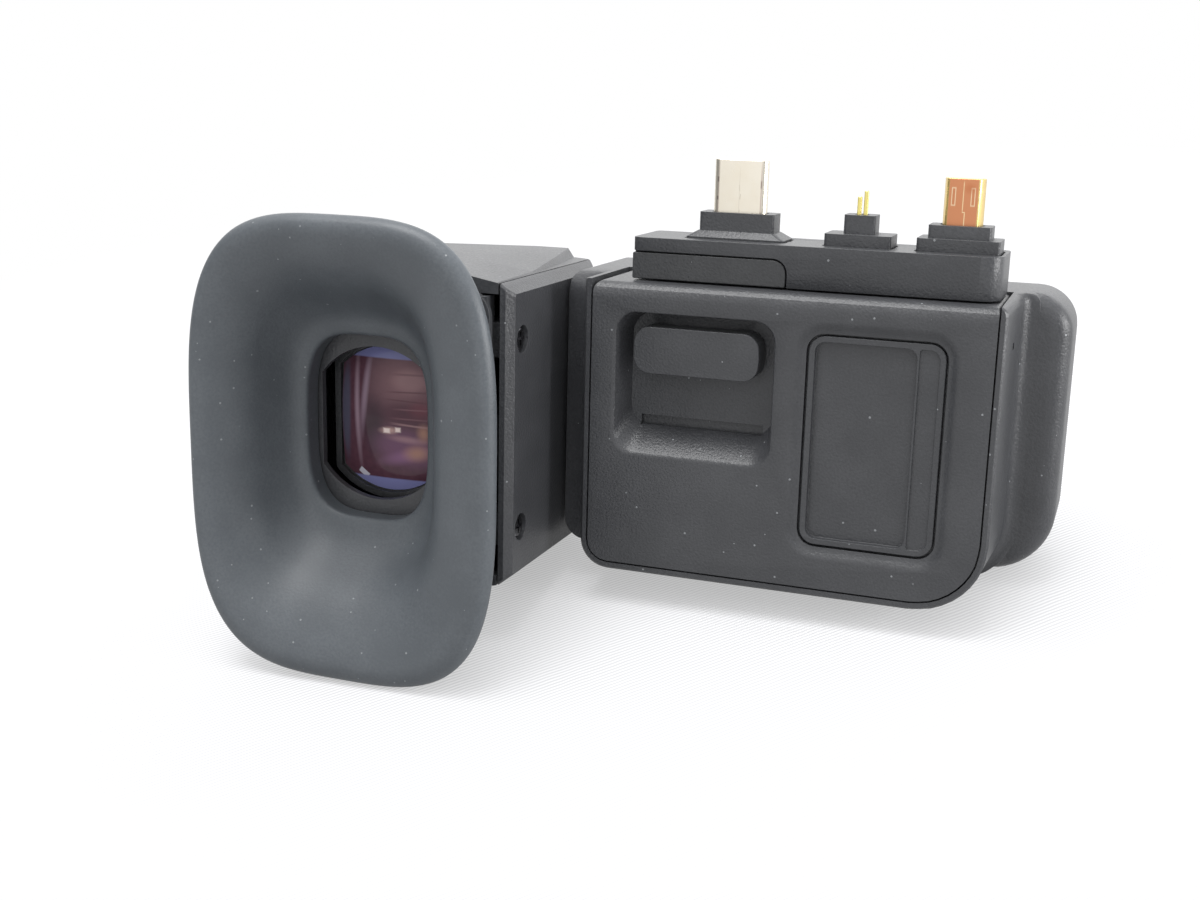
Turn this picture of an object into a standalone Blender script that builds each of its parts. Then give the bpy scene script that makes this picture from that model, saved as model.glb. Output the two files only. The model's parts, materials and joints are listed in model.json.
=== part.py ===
# Clip-on electronic viewfinder: a base with three plugs, and a head with the eyepiece that tilts on a hinge.
# It lies on its outer side, so the plugs point up (+Z). The eyecup looks along -Y, and -X is up in use.
# Sizes are set out from the lower left corner of the flat cover face, and the model's origin is a point on
# the block that seats against the camera, between the data plug and the contact.

import math

import bmesh
import bpy
from mathutils import Matrix, Vector

mm = 0.001

# Clearances
seam = 0.25 * mm
seat = 0.3 * mm
slip = 0.08 * mm
solder = 0.1 * mm
overrun = 1.5 * mm

# Cover face of the base
face_width = 60.4 * mm
face_height = 44.3 * mm
face_corners = (3.3 * mm, 9.6 * mm, 0.9 * mm, 1.4 * mm)
cover_wall = 1.6 * mm
cover_return = 17.0 * mm
cover_top_round = 2.3 * mm

# Base housing
shell_wall = 1.6 * mm
rim = 1.0 * mm
rim_edge = 0.35 * mm
block_flare = 0.6 * mm
slab_left = -6.6 * mm
slab_right = face_width + 9.2 * mm
slab_bottom = 0.8 * mm
slab_top = face_height + 0.3 * mm
slab_front = 17.0 * mm
slab_back = 33.0 * mm
slab_corners = (3.6 * mm, 10.0 * mm, 6.2 * mm, 1.6 * mm)
slab_round = 3.1 * mm
slab_back_round = 2.4 * mm
slab_left_share = 0.4
block_top_round = 1.6 * mm
block_cove = 2.4 * mm
shoulder_front = 7.0 * mm
shoulder_right = 6.0 * mm
shoulder_round = 4.2 * mm
latch_mark = (0.5 * mm, 1.5 * mm, 1.0 * mm)
latch_mark_y = 8.2 * mm
latch_mark_heights = (7.4 * mm, face_height - 6.4 * mm)

# Recess of the sliding lever
recess_left = 3.8 * mm
recess_right = face_width * 0.475
recess_top = face_height - 4.4 * mm
recess_bottom = recess_top - 22.0 * mm
recess_corner = 3.4 * mm
recess_depth = 5.0 * mm
recess_draft = 1.3 * mm
recess_ramp = 3.7 * mm
recess_mouth = 0.45 * mm
gutter_height = 1.6 * mm
gutter_depth = 1.0 * mm

# Sliding lever
lever_left = recess_left + 2.8 * mm
lever_width = (recess_right - recess_left) * 0.787
lever_bottom = recess_top - 9.4 * mm
lever_height = 7.2 * mm
lever_corner = 2.5 * mm
lever_front = 0.8 * mm
lever_edge = 0.45 * mm
lever_travel = 5.2 * mm
stem_width = 8.0 * mm
stem_height = 1.6 * mm
carrier_width = 16.0 * mm
carrier_height = 11.0 * mm
carrier_thickness = 1.2 * mm
spring_width = 6.0 * mm
spring_thickness = 0.4 * mm
spring_arch = 0.9 * mm
switch_size = (9.0 * mm, 2.6 * mm, 4.0 * mm)

# Storage tray
tray_left = face_width * 0.558
tray_right = face_width - 6.8 * mm
tray_bottom = 6.7 * mm
tray_top = face_height - 5.9 * mm
tray_corner = 2.4 * mm
tray_groove = 0.35 * mm
dish_border = 2.2 * mm
dish_depth = 0.8 * mm
tray_lip = 0.9 * mm
tray_pocket = 1.1 * mm
tray_strip = 2.9 * mm
tray_strip_depth = 0.4 * mm
tray_flange = 1.1 * mm
tray_thickness = 1.5 * mm

# Connector block on the top edge
riser_left = 5.0 * mm
riser_right = face_width - 0.5 * mm
riser_front = 3.5 * mm
riser_back = 16.0 * mm
riser_height = 6.3 * mm
riser_front_round = 3.0 * mm
riser_round = 1.1 * mm
riser_edge = 0.6 * mm
spigot_inset = 3.0 * mm
panel_width = 23.9 * mm
panel_height = 4.0 * mm
panel_thickness = 1.1 * mm
panel_corner = 2.0 * mm
panel_step = 0.1 * mm

# Plugs: width along the block, depth across it, height above what carries it
plug_line = 9.9 * mm
data_x = face_width * 0.3311
contact_x = face_width * 0.6391
video_x = face_width * 0.88
collar_sink = 0.5 * mm
data_flange = (15.2 * mm, 6.4 * mm, 1.2 * mm)
data_block = (11.6 * mm, 4.8 * mm, 2.8 * mm)
data_shell = (8.25 * mm, 2.4 * mm, 7.9 * mm)
contact_flange = (9.9 * mm, 6.4 * mm, 1.8 * mm)
contact_block = (4.7 * mm, 4.2 * mm, 2.8 * mm)
video_flange = (11.9 * mm, 6.6 * mm, 1.9 * mm)
video_block = (9.0 * mm, 5.0 * mm, 1.9 * mm)
video_shell = (5.83 * mm, 2.2 * mm, 6.7 * mm)
video_narrow = 0.65 * mm
skirt_share = 0.9
data_end_share = 0.45
collar_round = 0.6 * mm
collar_edge = 0.35 * mm
plug_wall = 0.3 * mm
plug_seat_depth = 0.5 * mm
dimple_reach = 7.9 * mm
dimple_radius = 0.3 * mm
dimple_depth = 0.4 * mm
data_tongue_slot = 0.74 * mm
latch_width = 0.9 * mm
latch_height = 1.7 * mm
latch_spread = 1.7 * mm
latch_rise = 3.6 * mm
pin_side = 0.62 * mm
pin_edge_share = 0.2
pin_pitch = 0.95 * mm
long_pin = 7.9 * mm
short_pin = 7.0 * mm

# Boards and sockets in the base
board_thickness = 1.2 * mm
board_front = 20.2 * mm
board_margin = 2.6 * mm
plug_board_thickness = 1.0 * mm
plug_board_depth = 6.6 * mm
chip_sizes = ((12.0 * mm, 1.2 * mm, 12.0 * mm), (7.0 * mm, 0.9 * mm, 7.0 * mm))
chip_place_shares = ((0.3, 0.6), (0.7, 0.6))
headphone_size = (6.4 * mm, 5.6 * mm, 12.0 * mm)
headphone_x = face_width - 9.4 * mm
headphone_bore = 1.8 * mm
headphone_mouth = 2.6 * mm
charge_size = (9.6 * mm, 4.0 * mm, 8.0 * mm)
charge_x = face_width * 0.6126
charge_mouth = (8.9 * mm, 3.2 * mm)
charge_tongue = (6.6 * mm, 0.7 * mm, 4.4 * mm)
socket_wall = 0.35 * mm
socket_bore_share = 0.8
end_round_share = 0.98

# Screws
shell_screw_places = (
    (7.2 * mm, 7.2 * mm),
    (face_width * 0.43, 8.0 * mm),
    (face_width - 3.2 * mm, 14.0 * mm),
    (face_width - 3.2 * mm, face_height - 8.3 * mm),
)
screw_shank = 0.8 * mm
screw_head = 1.9 * mm
screw_head_height = 1.0 * mm
screw_cone = 0.5 * mm
shell_screw_length = 16.0 * mm
head_screw_length = 5.0 * mm
cross_width = 0.5 * mm
cross_span = 2.2 * mm
cross_depth = 0.7 * mm
screw_crown_share = 0.8
screw_edge_share = 0.3
screw_point_share = 0.6
post_radius = 2.2 * mm
screw_recess = 0.35 * mm

# Hinge between base and head
hinge_x = -13.2 * mm
hinge_y = 17.8 * mm
hinge_round = 6.2 * mm
knuckle_radius = 4.7 * mm
knuckle_half = 12.0 * mm
knuckle_stem = 7.6 * mm
knuckle_foot = 2.0 * mm
knuckle_foot_border = 2.0 * mm
hinge_pin_radius = 1.5 * mm
hinge_pin_length = 12.0 * mm
hinge_pin_in_head = 5.0 * mm
washer_radius = 3.6 * mm
washer_thickness = 0.5 * mm
notch_gap = 0.5 * mm

# Head housing
axis_x = -29.7 * mm
axis_z = face_height * 0.49
panel_x = -7.0 * mm
plate_thickness = 2.0 * mm
plate_chamfer = 1.6 * mm
plate_front = -14.6 * mm
plate_front_chamfer = 1.1 * mm
plate_corner = 0.5 * mm
head_left = -47.5 * mm
head_front = -14.6 * mm
head_wall = 1.6 * mm
head_overhang = 2.0 * mm
head_half = face_height - axis_z + head_overhang
head_seam_half = head_half - 1.5 * mm
plate_half = head_seam_half
roof_fall = 0.7 * mm
head_corner_share = 0.3
head_corner = 3.0 * mm
roof_flats = (0.1 * mm, 0.15 * mm, 1.6 * mm, 3.2 * mm)
roof_steps = (0.4 * mm, 0.45 * mm, 2.5 * mm, 4.3 * mm)
roof_slopes = (6.3 * mm, 10.0 * mm, 10.0 * mm, 10.0 * mm)
roof_depth_shares = (0.0, 0.36, 0.74, 1.0)
roof_step_shares = (0.06, 0.2, 0.7, 1.0)
roof_slope_shares = (0.75, 1.0, 1.0, 1.0)
hinge_block_left = -21.0 * mm
hinge_block_front = 8.4 * mm
head_screw_front = -10.6 * mm
head_screw_front_half = 14.5 * mm
head_screw_back = 11.4 * mm
head_screw_back_half = head_half - 5.7 * mm

# Eyepiece frame and eyecup
frame_front = -16.0 * mm
frame_border = 1.0 * mm
frame_corner = 4.0 * mm
frame_floor = 1.2 * mm
frame_front_face = -14.0 * mm
lug_depth = 5.6 * mm
lug_reach = 8.0 * mm
lug_half = 2.6 * mm
cup_back = -16.3 * mm
cup_front = -31.0 * mm
cup_x = -27.7 * mm
cup_z = axis_z - 1.45 * mm
cup_half_x = 24.9 * mm
cup_half_z = 34.6 * mm
cup_hole_half_x = 10.2 * mm
cup_hole_half_z = 14.2 * mm
cup_sleeve = 1.4 * mm
cup_sleeve_depth = 2.0 * mm
cup_squareness_share = 3.4
cup_profile_shares = (
    (0.00, 0.00), (0.05, 0.00), (0.075, 0.015), (0.10, 0.06), (0.13, 0.13), (0.18, 0.20), (0.27, 0.265),
    (0.42, 0.32), (0.57, 0.37), (0.69, 0.43), (0.775, 0.51), (0.83, 0.60), (0.92, 0.80), (0.965, 0.88),
    (0.995, 0.935), (0.99, 0.97), (0.955, 0.995), (0.90, 1.00), (0.84, 0.985), (0.80, 0.93), (0.70, 0.72),
    (0.63, 0.62), (0.50, 0.555), (0.30, 0.50), (0.10, 0.47), (0.00, 0.45),
)

# Optics: each lens is round with two flats
eye_lens_radius = head_half * 0.4675
eye_lens_flat = head_half * 0.3313
opening_radius = eye_lens_radius + 0.5 * mm
opening_flat = eye_lens_flat + 1.35 * mm
eye_lens_back = -5.8 * mm
eye_lens_thickness = 5.2 * mm
eye_lens_sag = 1.5 * mm
inner_lens_radius = eye_lens_radius - 1.3 * mm
inner_lens_flat = eye_lens_flat - 0.55 * mm
inner_lens_sag = 1.0 * mm
middle_lens_back = -1.4 * mm
middle_lens_thickness = 3.6 * mm
rear_lens_back = 3.6 * mm
rear_lens_thickness = 4.2 * mm
barrel_wall = 1.5 * mm
barrel_front = -9.4 * mm
barrel_back = 4.8 * mm
barrel_ledge = 0.8 * mm
lens_ring_height = 0.6 * mm
lens_ring_width = 0.9 * mm
guide_rod_radius = 0.75 * mm
guide_rod_half = head_half - 7.6 * mm
ear_radius = 2.2 * mm
ear_thickness = 2.4 * mm
focus_travel = 1.5 * mm

# Display behind the optics
display_size = (13.6 * mm, 1.6 * mm, 11.2 * mm)
display_front = 12.0 * mm
glass_thickness = 0.7 * mm
holder_half = hinge_block_left - axis_x - 0.2 * mm
holder_depth = 3.4 * mm
holder_window = (10.4 * mm, 8.0 * mm)
head_board_size = (20.0 * mm, 1.0 * mm, 26.0 * mm)

# Diopter dial on the outer side of the head
dial_y = -2.0 * mm
dial_radius = 6.6 * mm
dial_height = 3.0 * mm
dial_proud = 1.8 * mm
dial_flute = 0.35 * mm
dial_flutes = 24
dial_shaft = 1.6 * mm
dial_shaft_length = 3.0 * mm
cam_radius = 3.4 * mm
cam_thickness = 1.0 * mm

arc_steps = 5
corner_steps = 7
mouth_steps = 3
round_steps = 24
small_round_steps = 12
bore_steps = 12
cup_steps = 36

# Where the model's origin lies, in the sizes above
seat_x = (data_x + data_flange[0] / 2 + contact_x - contact_flange[0] / 2) / 2
seat_z = face_height + seat + riser_height
origin = Vector((seat_x, plug_line, seat_z))


# Scene, collections and materials

for old in list(bpy.data.objects):
    bpy.data.objects.remove(old, do_unlink=True)

parts = bpy.data.collections.new("electronic_viewfinder")
bpy.context.scene.collection.children.link(parts)
cutters = bpy.data.collections.new("cutters")
bpy.context.scene.collection.children.link(cutters)

finishes = {}


def finish(name, colour, roughness, metallic=0.0, alpha=1.0):
    material = bpy.data.materials.new(name)
    material.use_nodes = True
    shader = material.node_tree.nodes["Principled BSDF"]
    shader.inputs["Base Color"].default_value = (*colour, 1.0)
    shader.inputs["Roughness"].default_value = roughness
    shader.inputs["Metallic"].default_value = metallic
    shader.inputs["Alpha"].default_value = alpha
    finishes[name] = material


finish("charcoal_plastic", (0.045, 0.046, 0.048), 0.62)
finish("dark_plastic", (0.022, 0.022, 0.024), 0.55)
finish("soft_rubber", (0.055, 0.058, 0.062), 0.8)
finish("plug_steel", (0.62, 0.58, 0.52), 0.32, 1.0)
finish("plug_gold", (0.83, 0.52, 0.2), 0.28, 1.0)
finish("contact_insert", (0.02, 0.02, 0.02), 0.5)
finish("black_steel", (0.08, 0.08, 0.085), 0.38, 1.0)
finish("bright_steel", (0.6, 0.6, 0.6), 0.3, 1.0)
finish("circuit_board", (0.02, 0.12, 0.05), 0.5)
finish("chip_black", (0.02, 0.02, 0.022), 0.45)
finish("coated_glass", (0.35, 0.2, 0.27), 0.05, 0.0, 0.35)
finish("display_black", (0.01, 0.01, 0.012), 0.15)


# Mesh makers. Each gives a closed mesh in the model's set-out sizes


def rounded(left, right, low, high, corners, steps=arc_steps):
    """Rectangle outline with a radius for each corner: lower left, lower right, upper right, upper left."""
    centres = (
        (left + corners[0], low + corners[0], corners[0], math.pi),
        (right - corners[1], low + corners[1], corners[1], 1.5 * math.pi),
        (right - corners[2], high - corners[2], corners[2], 0.0),
        (left + corners[3], high - corners[3], corners[3], 0.5 * math.pi),
    )
    points = []
    for u, v, radius, start in centres:
        for step in range(steps + 1):
            angle = start + 0.5 * math.pi * step / steps
            points.append((u + radius * math.cos(angle), v + radius * math.sin(angle)))
    return points


def inset(box, corners, by, least=0.4 * mm):
    """The left, right, low and high of a box and its corner radii, all drawn in by the same amount."""
    left, right, low, high = box
    shrunk = tuple(max(radius - by, least) for radius in corners)
    return (left + by, right - by, low + by, high - by), shrunk


def quarter_round(radius, steps=arc_steps):
    """How far in from an end, and how far in from the side, each step of a rounded edge lies."""
    angles = [0.5 * math.pi * step / steps for step in range(steps + 1)]
    return [(radius * (1 - math.cos(angle)), radius * (1 - math.sin(angle))) for angle in angles]


def flatted_circle(u, v, radius, flat, steps=round_steps):
    """Circle outline with two flats at the same distance either side of its centre."""
    end = math.acos(flat / radius)
    points = []
    for side in (0.0, math.pi):
        for step in range(steps // 2 + 1):
            angle = side + end + (math.pi - 2 * end) * step / (steps // 2)
            points.append((u + radius * math.cos(angle), v + radius * math.sin(angle)))
    return points


def closed(mesh):
    """Merges loose caps and turns every face outwards."""
    work = bmesh.new()
    work.from_mesh(mesh)
    bmesh.ops.remove_doubles(work, verts=work.verts, dist=0.001 * mm)
    bmesh.ops.recalc_face_normals(work, faces=work.faces)
    work.to_mesh(mesh)
    work.free()
    return mesh


# An outline drawn on two axes, and the axis that it is extruded along
upright = {
    "X": Matrix(((0, 0, 1, 0), (1, 0, 0, 0), (0, 1, 0, 0), (0, 0, 0, 1))),
    "Y": Matrix(((1, 0, 0, 0), (0, 0, -1, 0), (0, 1, 0, 0), (0, 0, 0, 1))),
    "Z": Matrix.Identity(4),
}
along = {"X": Vector((1, 0, 0)), "Y": Vector((0, 1, 0)), "Z": Vector((0, 0, 1))}


def extruded(outline, axis, start, end):
    """A flat outline, filled and extruded along an axis from start to end."""
    curve = bpy.data.curves.new("outline", "CURVE")
    curve.dimensions = "2D"
    curve.fill_mode = "BOTH"
    curve.extrude = abs(end - start) / 2
    spline = curve.splines.new("POLY")
    spline.points.add(len(outline) - 1)
    for point, (u, v) in zip(spline.points, outline):
        point.co = (u, v, 0, 1)
    spline.use_cyclic_u = True
    holder = bpy.data.objects.new("outline", curve)
    cutters.objects.link(holder)
    bpy.context.view_layer.update()
    graph = bpy.context.evaluated_depsgraph_get()
    mesh = bpy.data.meshes.new_from_object(holder.evaluated_get(graph))
    bpy.data.objects.remove(holder, do_unlink=True)
    bpy.data.curves.remove(curve)
    mesh.transform(Matrix.Translation(along[axis] * (start + end) / 2) @ upright[axis])
    return closed(mesh)


def box(low, high):
    """A block between two corners."""
    work = bmesh.new()
    bmesh.ops.create_cube(work, size=1)
    middle = (Vector(low) + Vector(high)) / 2
    size = Vector(high) - Vector(low)
    bmesh.ops.transform(
        work, matrix=Matrix.Translation(middle) @ Matrix.Diagonal((*size, 1)), verts=work.verts
    )
    mesh = bpy.data.meshes.new("box")
    work.to_mesh(mesh)
    work.free()
    return mesh


def centred_box(centre, size):
    half = Vector(size) / 2
    return box(Vector(centre) - half, Vector(centre) + half)


def rod(axis, radius, start, end, steps=small_round_steps):
    """A cylinder between two points on a line along an axis."""
    work = bmesh.new()
    length = (Vector(end) - Vector(start)).length
    bmesh.ops.create_cone(work, cap_ends=True, segments=steps, radius1=radius, radius2=radius, depth=length)
    turn = {"X": Matrix.Rotation(math.pi / 2, 4, "Y"), "Y": Matrix.Rotation(math.pi / 2, 4, "X")}
    middle = (Vector(start) + Vector(end)) / 2
    place = Matrix.Translation(middle) @ turn.get(axis, Matrix.Identity(4))
    bmesh.ops.transform(work, matrix=place, verts=work.verts)
    mesh = bpy.data.meshes.new("rod")
    work.to_mesh(mesh)
    work.free()
    return closed(mesh)


def loft(sections, ring=False):
    """Joins sections with the same number of points. A ring joins end to end, and anything else is capped."""
    work = bmesh.new()
    loops = [[work.verts.new(point) for point in section] for section in sections]
    count = len(sections[0])
    pairs = list(zip(loops, loops[1:]))
    if ring:
        pairs.append((loops[-1], loops[0]))
    else:
        work.faces.new(loops[0])
        work.faces.new(loops[-1])
    for first, second in pairs:
        for index in range(count):
            after = (index + 1) % count
            work.faces.new((first[index], first[after], second[after], second[index]))
    mesh = bpy.data.meshes.new("loft")
    work.to_mesh(mesh)
    work.free()
    return closed(mesh)


def at_depth(outline, y):
    return [(u, y, v) for u, v in outline]


def at_height(outline, z):
    return [(u, v, z) for u, v in outline]


# Objects. A frame is an empty that carries pieces, and its place is kept in set-out sizes

places = {}


def carrier(name, place, parent=None):
    empty = bpy.data.objects.new(name, None)
    parts.objects.link(empty)
    places[name] = Vector(place)
    empty.parent = parent
    empty.location = places[name] - (places[parent.name] if parent else origin)
    return empty


def put(name, mesh, parent, centre, collection):
    mesh.name = name
    mesh.transform(Matrix.Translation(-Vector(centre)))
    obj = bpy.data.objects.new(name, mesh)
    collection.objects.link(obj)
    obj.parent = parent
    obj.location = Vector(centre) - places[parent.name]
    return obj


def piece(name, mesh, look, parent, centre=None, smooth=True):
    """A part of the object, with its own origin and its own finish."""
    obj = put(name, mesh, parent, places[parent.name] if centre is None else centre, parts)
    obj.data.materials.clear()
    obj.data.materials.append(finishes[look])
    if smooth:
        obj.data.shade_smooth()
        obj.data.set_sharp_from_angle(angle=math.radians(35))
    return obj


def operate(obj, mesh, kind):
    """Cuts, joins or keeps the shared space of a piece and a helper, which is left out of the model."""
    helper = put(f"{obj.name}_{kind.lower()}", mesh, obj.parent, places[obj.parent.name], cutters)
    helper.hide_render = True
    helper.display_type = "WIRE"
    modifier = obj.modifiers.new(kind.lower(), "BOOLEAN")
    modifier.operation = kind
    modifier.solver = "EXACT"
    modifier.object = helper


def cut(obj, *meshes):
    for mesh in meshes:
        operate(obj, mesh, "DIFFERENCE")


def join(obj, *meshes):
    for mesh in meshes:
        operate(obj, mesh, "UNION")


def keep_inside(obj, mesh):
    operate(obj, mesh, "INTERSECT")


def soften(obj, width, segments=2, angle=40):
    """Rounds the sharp edges that the piece has so far."""
    modifier = obj.modifiers.new("edges", "BEVEL")
    modifier.width = width
    modifier.segments = segments
    modifier.limit_method = "ANGLE"
    modifier.angle_limit = math.radians(angle)


def turned(name, profile, look, parent, centre, turn, steps=small_round_steps):
    """A profile of radius and height, from the top of its outer side down, turned about its height."""
    mesh = bpy.data.meshes.new(name)
    mesh.from_pydata([(radius, 0, height) for radius, height in profile], [], [])
    mesh.update()
    work = bmesh.new()
    work.from_mesh(mesh)
    work.verts.ensure_lookup_table()
    for first, second in zip(work.verts[:-1], work.verts[1:]):
        work.edges.new((first, second))
    work.to_mesh(mesh)
    work.free()
    obj = bpy.data.objects.new(name, mesh)
    parts.objects.link(obj)
    obj.parent = parent
    obj.location = Vector(centre) - places[parent.name]
    obj.rotation_euler = turn
    mesh.materials.append(finishes[look])
    screw = obj.modifiers.new("turn", "SCREW")
    screw.steps = steps
    screw.render_steps = steps
    screw.use_merge_vertices = True
    screw.merge_threshold = 0.001 * mm
    screw.use_smooth_shade = True
    return obj


# Frames of the moving bodies

base = carrier("base_frame", (0, 0, 0))
lever_guide = carrier(
    "lever_guide", (lever_left + lever_width / 2, lever_front, lever_bottom + lever_height / 2), base
)
tilt = carrier("tilt_axis", (hinge_x, hinge_y, axis_z), base)
focus = carrier("focus_slide", (axis_x, (barrel_front + barrel_back) / 2, axis_z), tilt)
dial_axis = carrier("dial_axis", (axis_x, dial_y, axis_z - head_half), tilt)


# Base: cover, tray, lever


def face_outline(by=0.0):
    """Outline of the cover face, let out by the given amount."""
    bounds, corners = inset((0, face_width, 0, face_height), face_corners, -by)
    return rounded(*bounds, corners)


def recess_outline(shrink, ramp):
    return rounded(
        recess_left + shrink,
        recess_right - shrink / 2,
        recess_bottom + ramp,
        recess_top - shrink / 3,
        (recess_corner,) * 4,
    )


def tray_outline(by):
    """Outline of the tray, let out by the given amount."""
    return rounded(
        tray_left - by,
        tray_right + by,
        tray_bottom - by,
        tray_top + by,
        (tray_corner + by,) * 4,
    )


def spigot_box(gap):
    """The foot of the connector block, which passes through the top edge of the cover."""
    return box(
        (
            riser_left + spigot_inset - gap,
            riser_front + spigot_inset - gap,
            face_height - cover_wall - overrun,
        ),
        (riser_right - spigot_inset + gap, riser_back - spigot_inset + gap, face_height + overrun),
    )


def screw_centre(place, y):
    return Vector((place[0], y, place[1]))


def add_rear_cover():
    cover = piece("rear_cover", extruded(face_outline(), "Y", 0, cover_return), "charcoal_plastic", base)
    side = face_width + overrun
    cut(
        cover,
        box((-overrun, cover_wall, -overrun), (side, cover_return + overrun, face_height - cover_wall)),
    )
    # The edge towards the camera is well rounded
    round_outline = [
        (-overrun, face_height + overrun),
        (-overrun, face_height - cover_top_round),
    ]
    for step in range(arc_steps + 1):
        angle = math.pi - 0.5 * math.pi * step / arc_steps
        round_outline.append(
            (
                cover_top_round * (1 + math.cos(angle)),
                face_height - cover_top_round * (1 - math.sin(angle)),
            )
        )
    round_outline.append((cover_top_round, face_height + overrun))
    cut(cover, extruded(round_outline, "X", -overrun, side))
    # Tub of the lever, with its ramp at the lower side
    tub = rounded(
        recess_left - cover_wall,
        recess_right + cover_wall,
        recess_bottom - cover_wall,
        recess_top + cover_wall,
        (recess_corner + cover_wall,) * 4,
    )
    join(cover, extruded(tub, "Y", cover_wall / 2, recess_depth + cover_wall))
    hollow = [at_depth(recess_outline(-recess_mouth, -recess_mouth), -overrun)]
    for step in range(mouth_steps + 1):
        angle = 0.5 * math.pi * step / mouth_steps
        let_out = recess_mouth * (1 - math.sin(angle))
        y = recess_mouth * (1 - math.cos(angle))
        ramp = recess_ramp * y / recess_depth
        draft = recess_draft * y / recess_depth
        hollow.append(at_depth(recess_outline(draft - let_out, ramp - let_out), y))
    hollow.append(at_depth(recess_outline(recess_draft, recess_ramp), recess_depth))
    gutter = (
        recess_left + recess_draft + recess_corner / 2,
        recess_depth - overrun,
        recess_bottom + recess_ramp,
    )
    gutter_end = (
        recess_right - recess_draft / 2 - recess_corner / 2,
        recess_depth + gutter_depth,
        recess_bottom + recess_ramp + gutter_height,
    )
    slot_top = lever_bottom + lever_height - lever_edge + seat
    slot_middle = lever_left + lever_width / 2
    slot_half = stem_width / 2 + seat
    cut(
        cover,
        loft(hollow),
        box(gutter, gutter_end),
        box(
            (
                slot_middle - slot_half,
                recess_depth - overrun,
                slot_top - stem_height - lever_travel - 2 * seat,
            ),
            (slot_middle + slot_half, recess_depth + cover_wall + overrun, slot_top),
        ),
    )
    # Soft dish round the tray, and the tray's opening
    dish = [at_depth(tray_outline(dish_border), -overrun)]
    for step in range(arc_steps + 1):
        share = step / arc_steps
        fall = 0.5 - 0.5 * math.cos(math.pi * share)
        dish.append(
            at_depth(tray_outline(dish_border + share * (tray_groove - dish_border)), dish_depth * fall)
        )
    cut(
        cover,
        loft(dish),
        extruded(tray_outline(tray_groove), "Y", -overrun, cover_wall + overrun),
        spigot_box(seat),
    )
    # Posts for the screws from the far side
    for place in shell_screw_places:
        top = board_front - seat
        join(cover, rod("Y", post_radius, screw_centre(place, cover_wall / 2), screw_centre(place, top)))
    for place in shell_screw_places:
        deep = screw_tip() - seat
        cut(
            cover,
            rod(
                "Y",
                screw_shank + seam,
                screw_centre(place, deep),
                screw_centre(place, board_front + overrun),
                bore_steps,
            ),
        )


def screw_tip():
    """How far towards the cover face the tips of the long screws reach."""
    return slab_back - screw_recess - screw_head_height - screw_cone - shell_screw_length


def add_storage_tray():
    back = cover_wall + seat + tray_thickness
    tray = piece("storage_tray", extruded(tray_outline(0), "Y", dish_depth, back), "charcoal_plastic", base)
    soften(tray, tray_groove)
    join(tray, extruded(tray_outline(tray_flange), "Y", cover_wall + seat, back))
    strip_left = tray_right - tray_lip - tray_strip
    pocket = rounded(
        tray_left + tray_lip,
        strip_left - tray_groove,
        tray_bottom + tray_lip,
        tray_top - tray_lip,
        (tray_corner - tray_lip,) * 4,
    )
    strip = rounded(
        strip_left,
        tray_right - tray_lip,
        tray_bottom + tray_lip,
        tray_top - tray_lip,
        (tray_groove, tray_corner - tray_lip, tray_corner - tray_lip, tray_groove),
    )
    cut(
        tray,
        extruded(pocket, "Y", dish_depth - overrun, dish_depth + tray_pocket),
        extruded(strip, "Y", dish_depth - overrun, dish_depth + tray_strip_depth),
    )


def add_selector():
    back = recess_depth - seat
    bar = rounded(
        lever_left,
        lever_left + lever_width,
        lever_bottom,
        lever_bottom + lever_height,
        (lever_corner,) * 4,
    )
    lever = piece("selector_lever", extruded(bar, "Y", lever_front, back), "charcoal_plastic", lever_guide)
    soften(lever, lever_edge)
    middle = lever_left + lever_width / 2
    stem_top = lever_bottom + lever_height - lever_edge
    carrier_front = recess_depth + cover_wall + seat
    join(
        lever,
        box(
            (middle - stem_width / 2, back - overrun, stem_top - stem_height),
            (middle + stem_width / 2, carrier_front - seat, stem_top),
        ),
    )
    carrier_top = stem_top + seat
    carrier_back = carrier_front + carrier_thickness
    slide = piece(
        "selector_carrier",
        box(
            (middle - carrier_width / 2, carrier_front, carrier_top - carrier_height),
            (middle + carrier_width / 2, carrier_back, carrier_top),
        ),
        "dark_plastic",
        lever_guide,
    )
    soften(slide, seam)
    # Leaf that presses the carrier forward and gives it two rest positions
    leaf_middle = carrier_top - carrier_height / 2
    leaf_front = carrier_back + seat
    leaf = []
    for step in range(arc_steps * 2 + 1):
        share = step / (arc_steps * 2)
        rise = spring_arch * math.sin(math.pi * share)
        leaf.append((leaf_front + spring_arch - rise, leaf_middle + carrier_height * (share - 0.5)))
    leaf += [(y + spring_thickness, z) for y, z in reversed(leaf)]
    piece(
        "detent_spring",
        extruded(leaf, "X", middle - spring_width / 2, middle + spring_width / 2),
        "bright_steel",
        base,
    )
    switch_back = leaf_front + spring_arch + spring_thickness + seat
    piece(
        "selector_switch",
        box(
            (middle - switch_size[0] / 2, switch_back, leaf_middle - switch_size[2] / 2),
            (middle + switch_size[0] / 2, board_front - seat, leaf_middle + switch_size[2] / 2),
        ),
        "chip_black",
        base,
    )


# Base: housing, boards, sockets, screws


def block_section(y, out, out_right):
    """Outline of the front block at one depth, let out beyond the cover face, more so on the right."""
    corners = (face_corners[0] + out, face_corners[1] + out, block_top_round, seam)
    return at_depth(rounded(-out, face_width + out_right, -out, slab_top, corners), y)


def slab_section(y, draw):
    """Outline of the slab at one depth, drawn in from its edges, and less so at the hinge side."""
    (left, right, low, high), corners = inset(
        (slab_left, slab_right, slab_bottom, slab_top), slab_corners, draw
    )
    left = slab_left + draw * slab_left_share
    return at_depth(rounded(left, right, low, high, corners, corner_steps), y)


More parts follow.
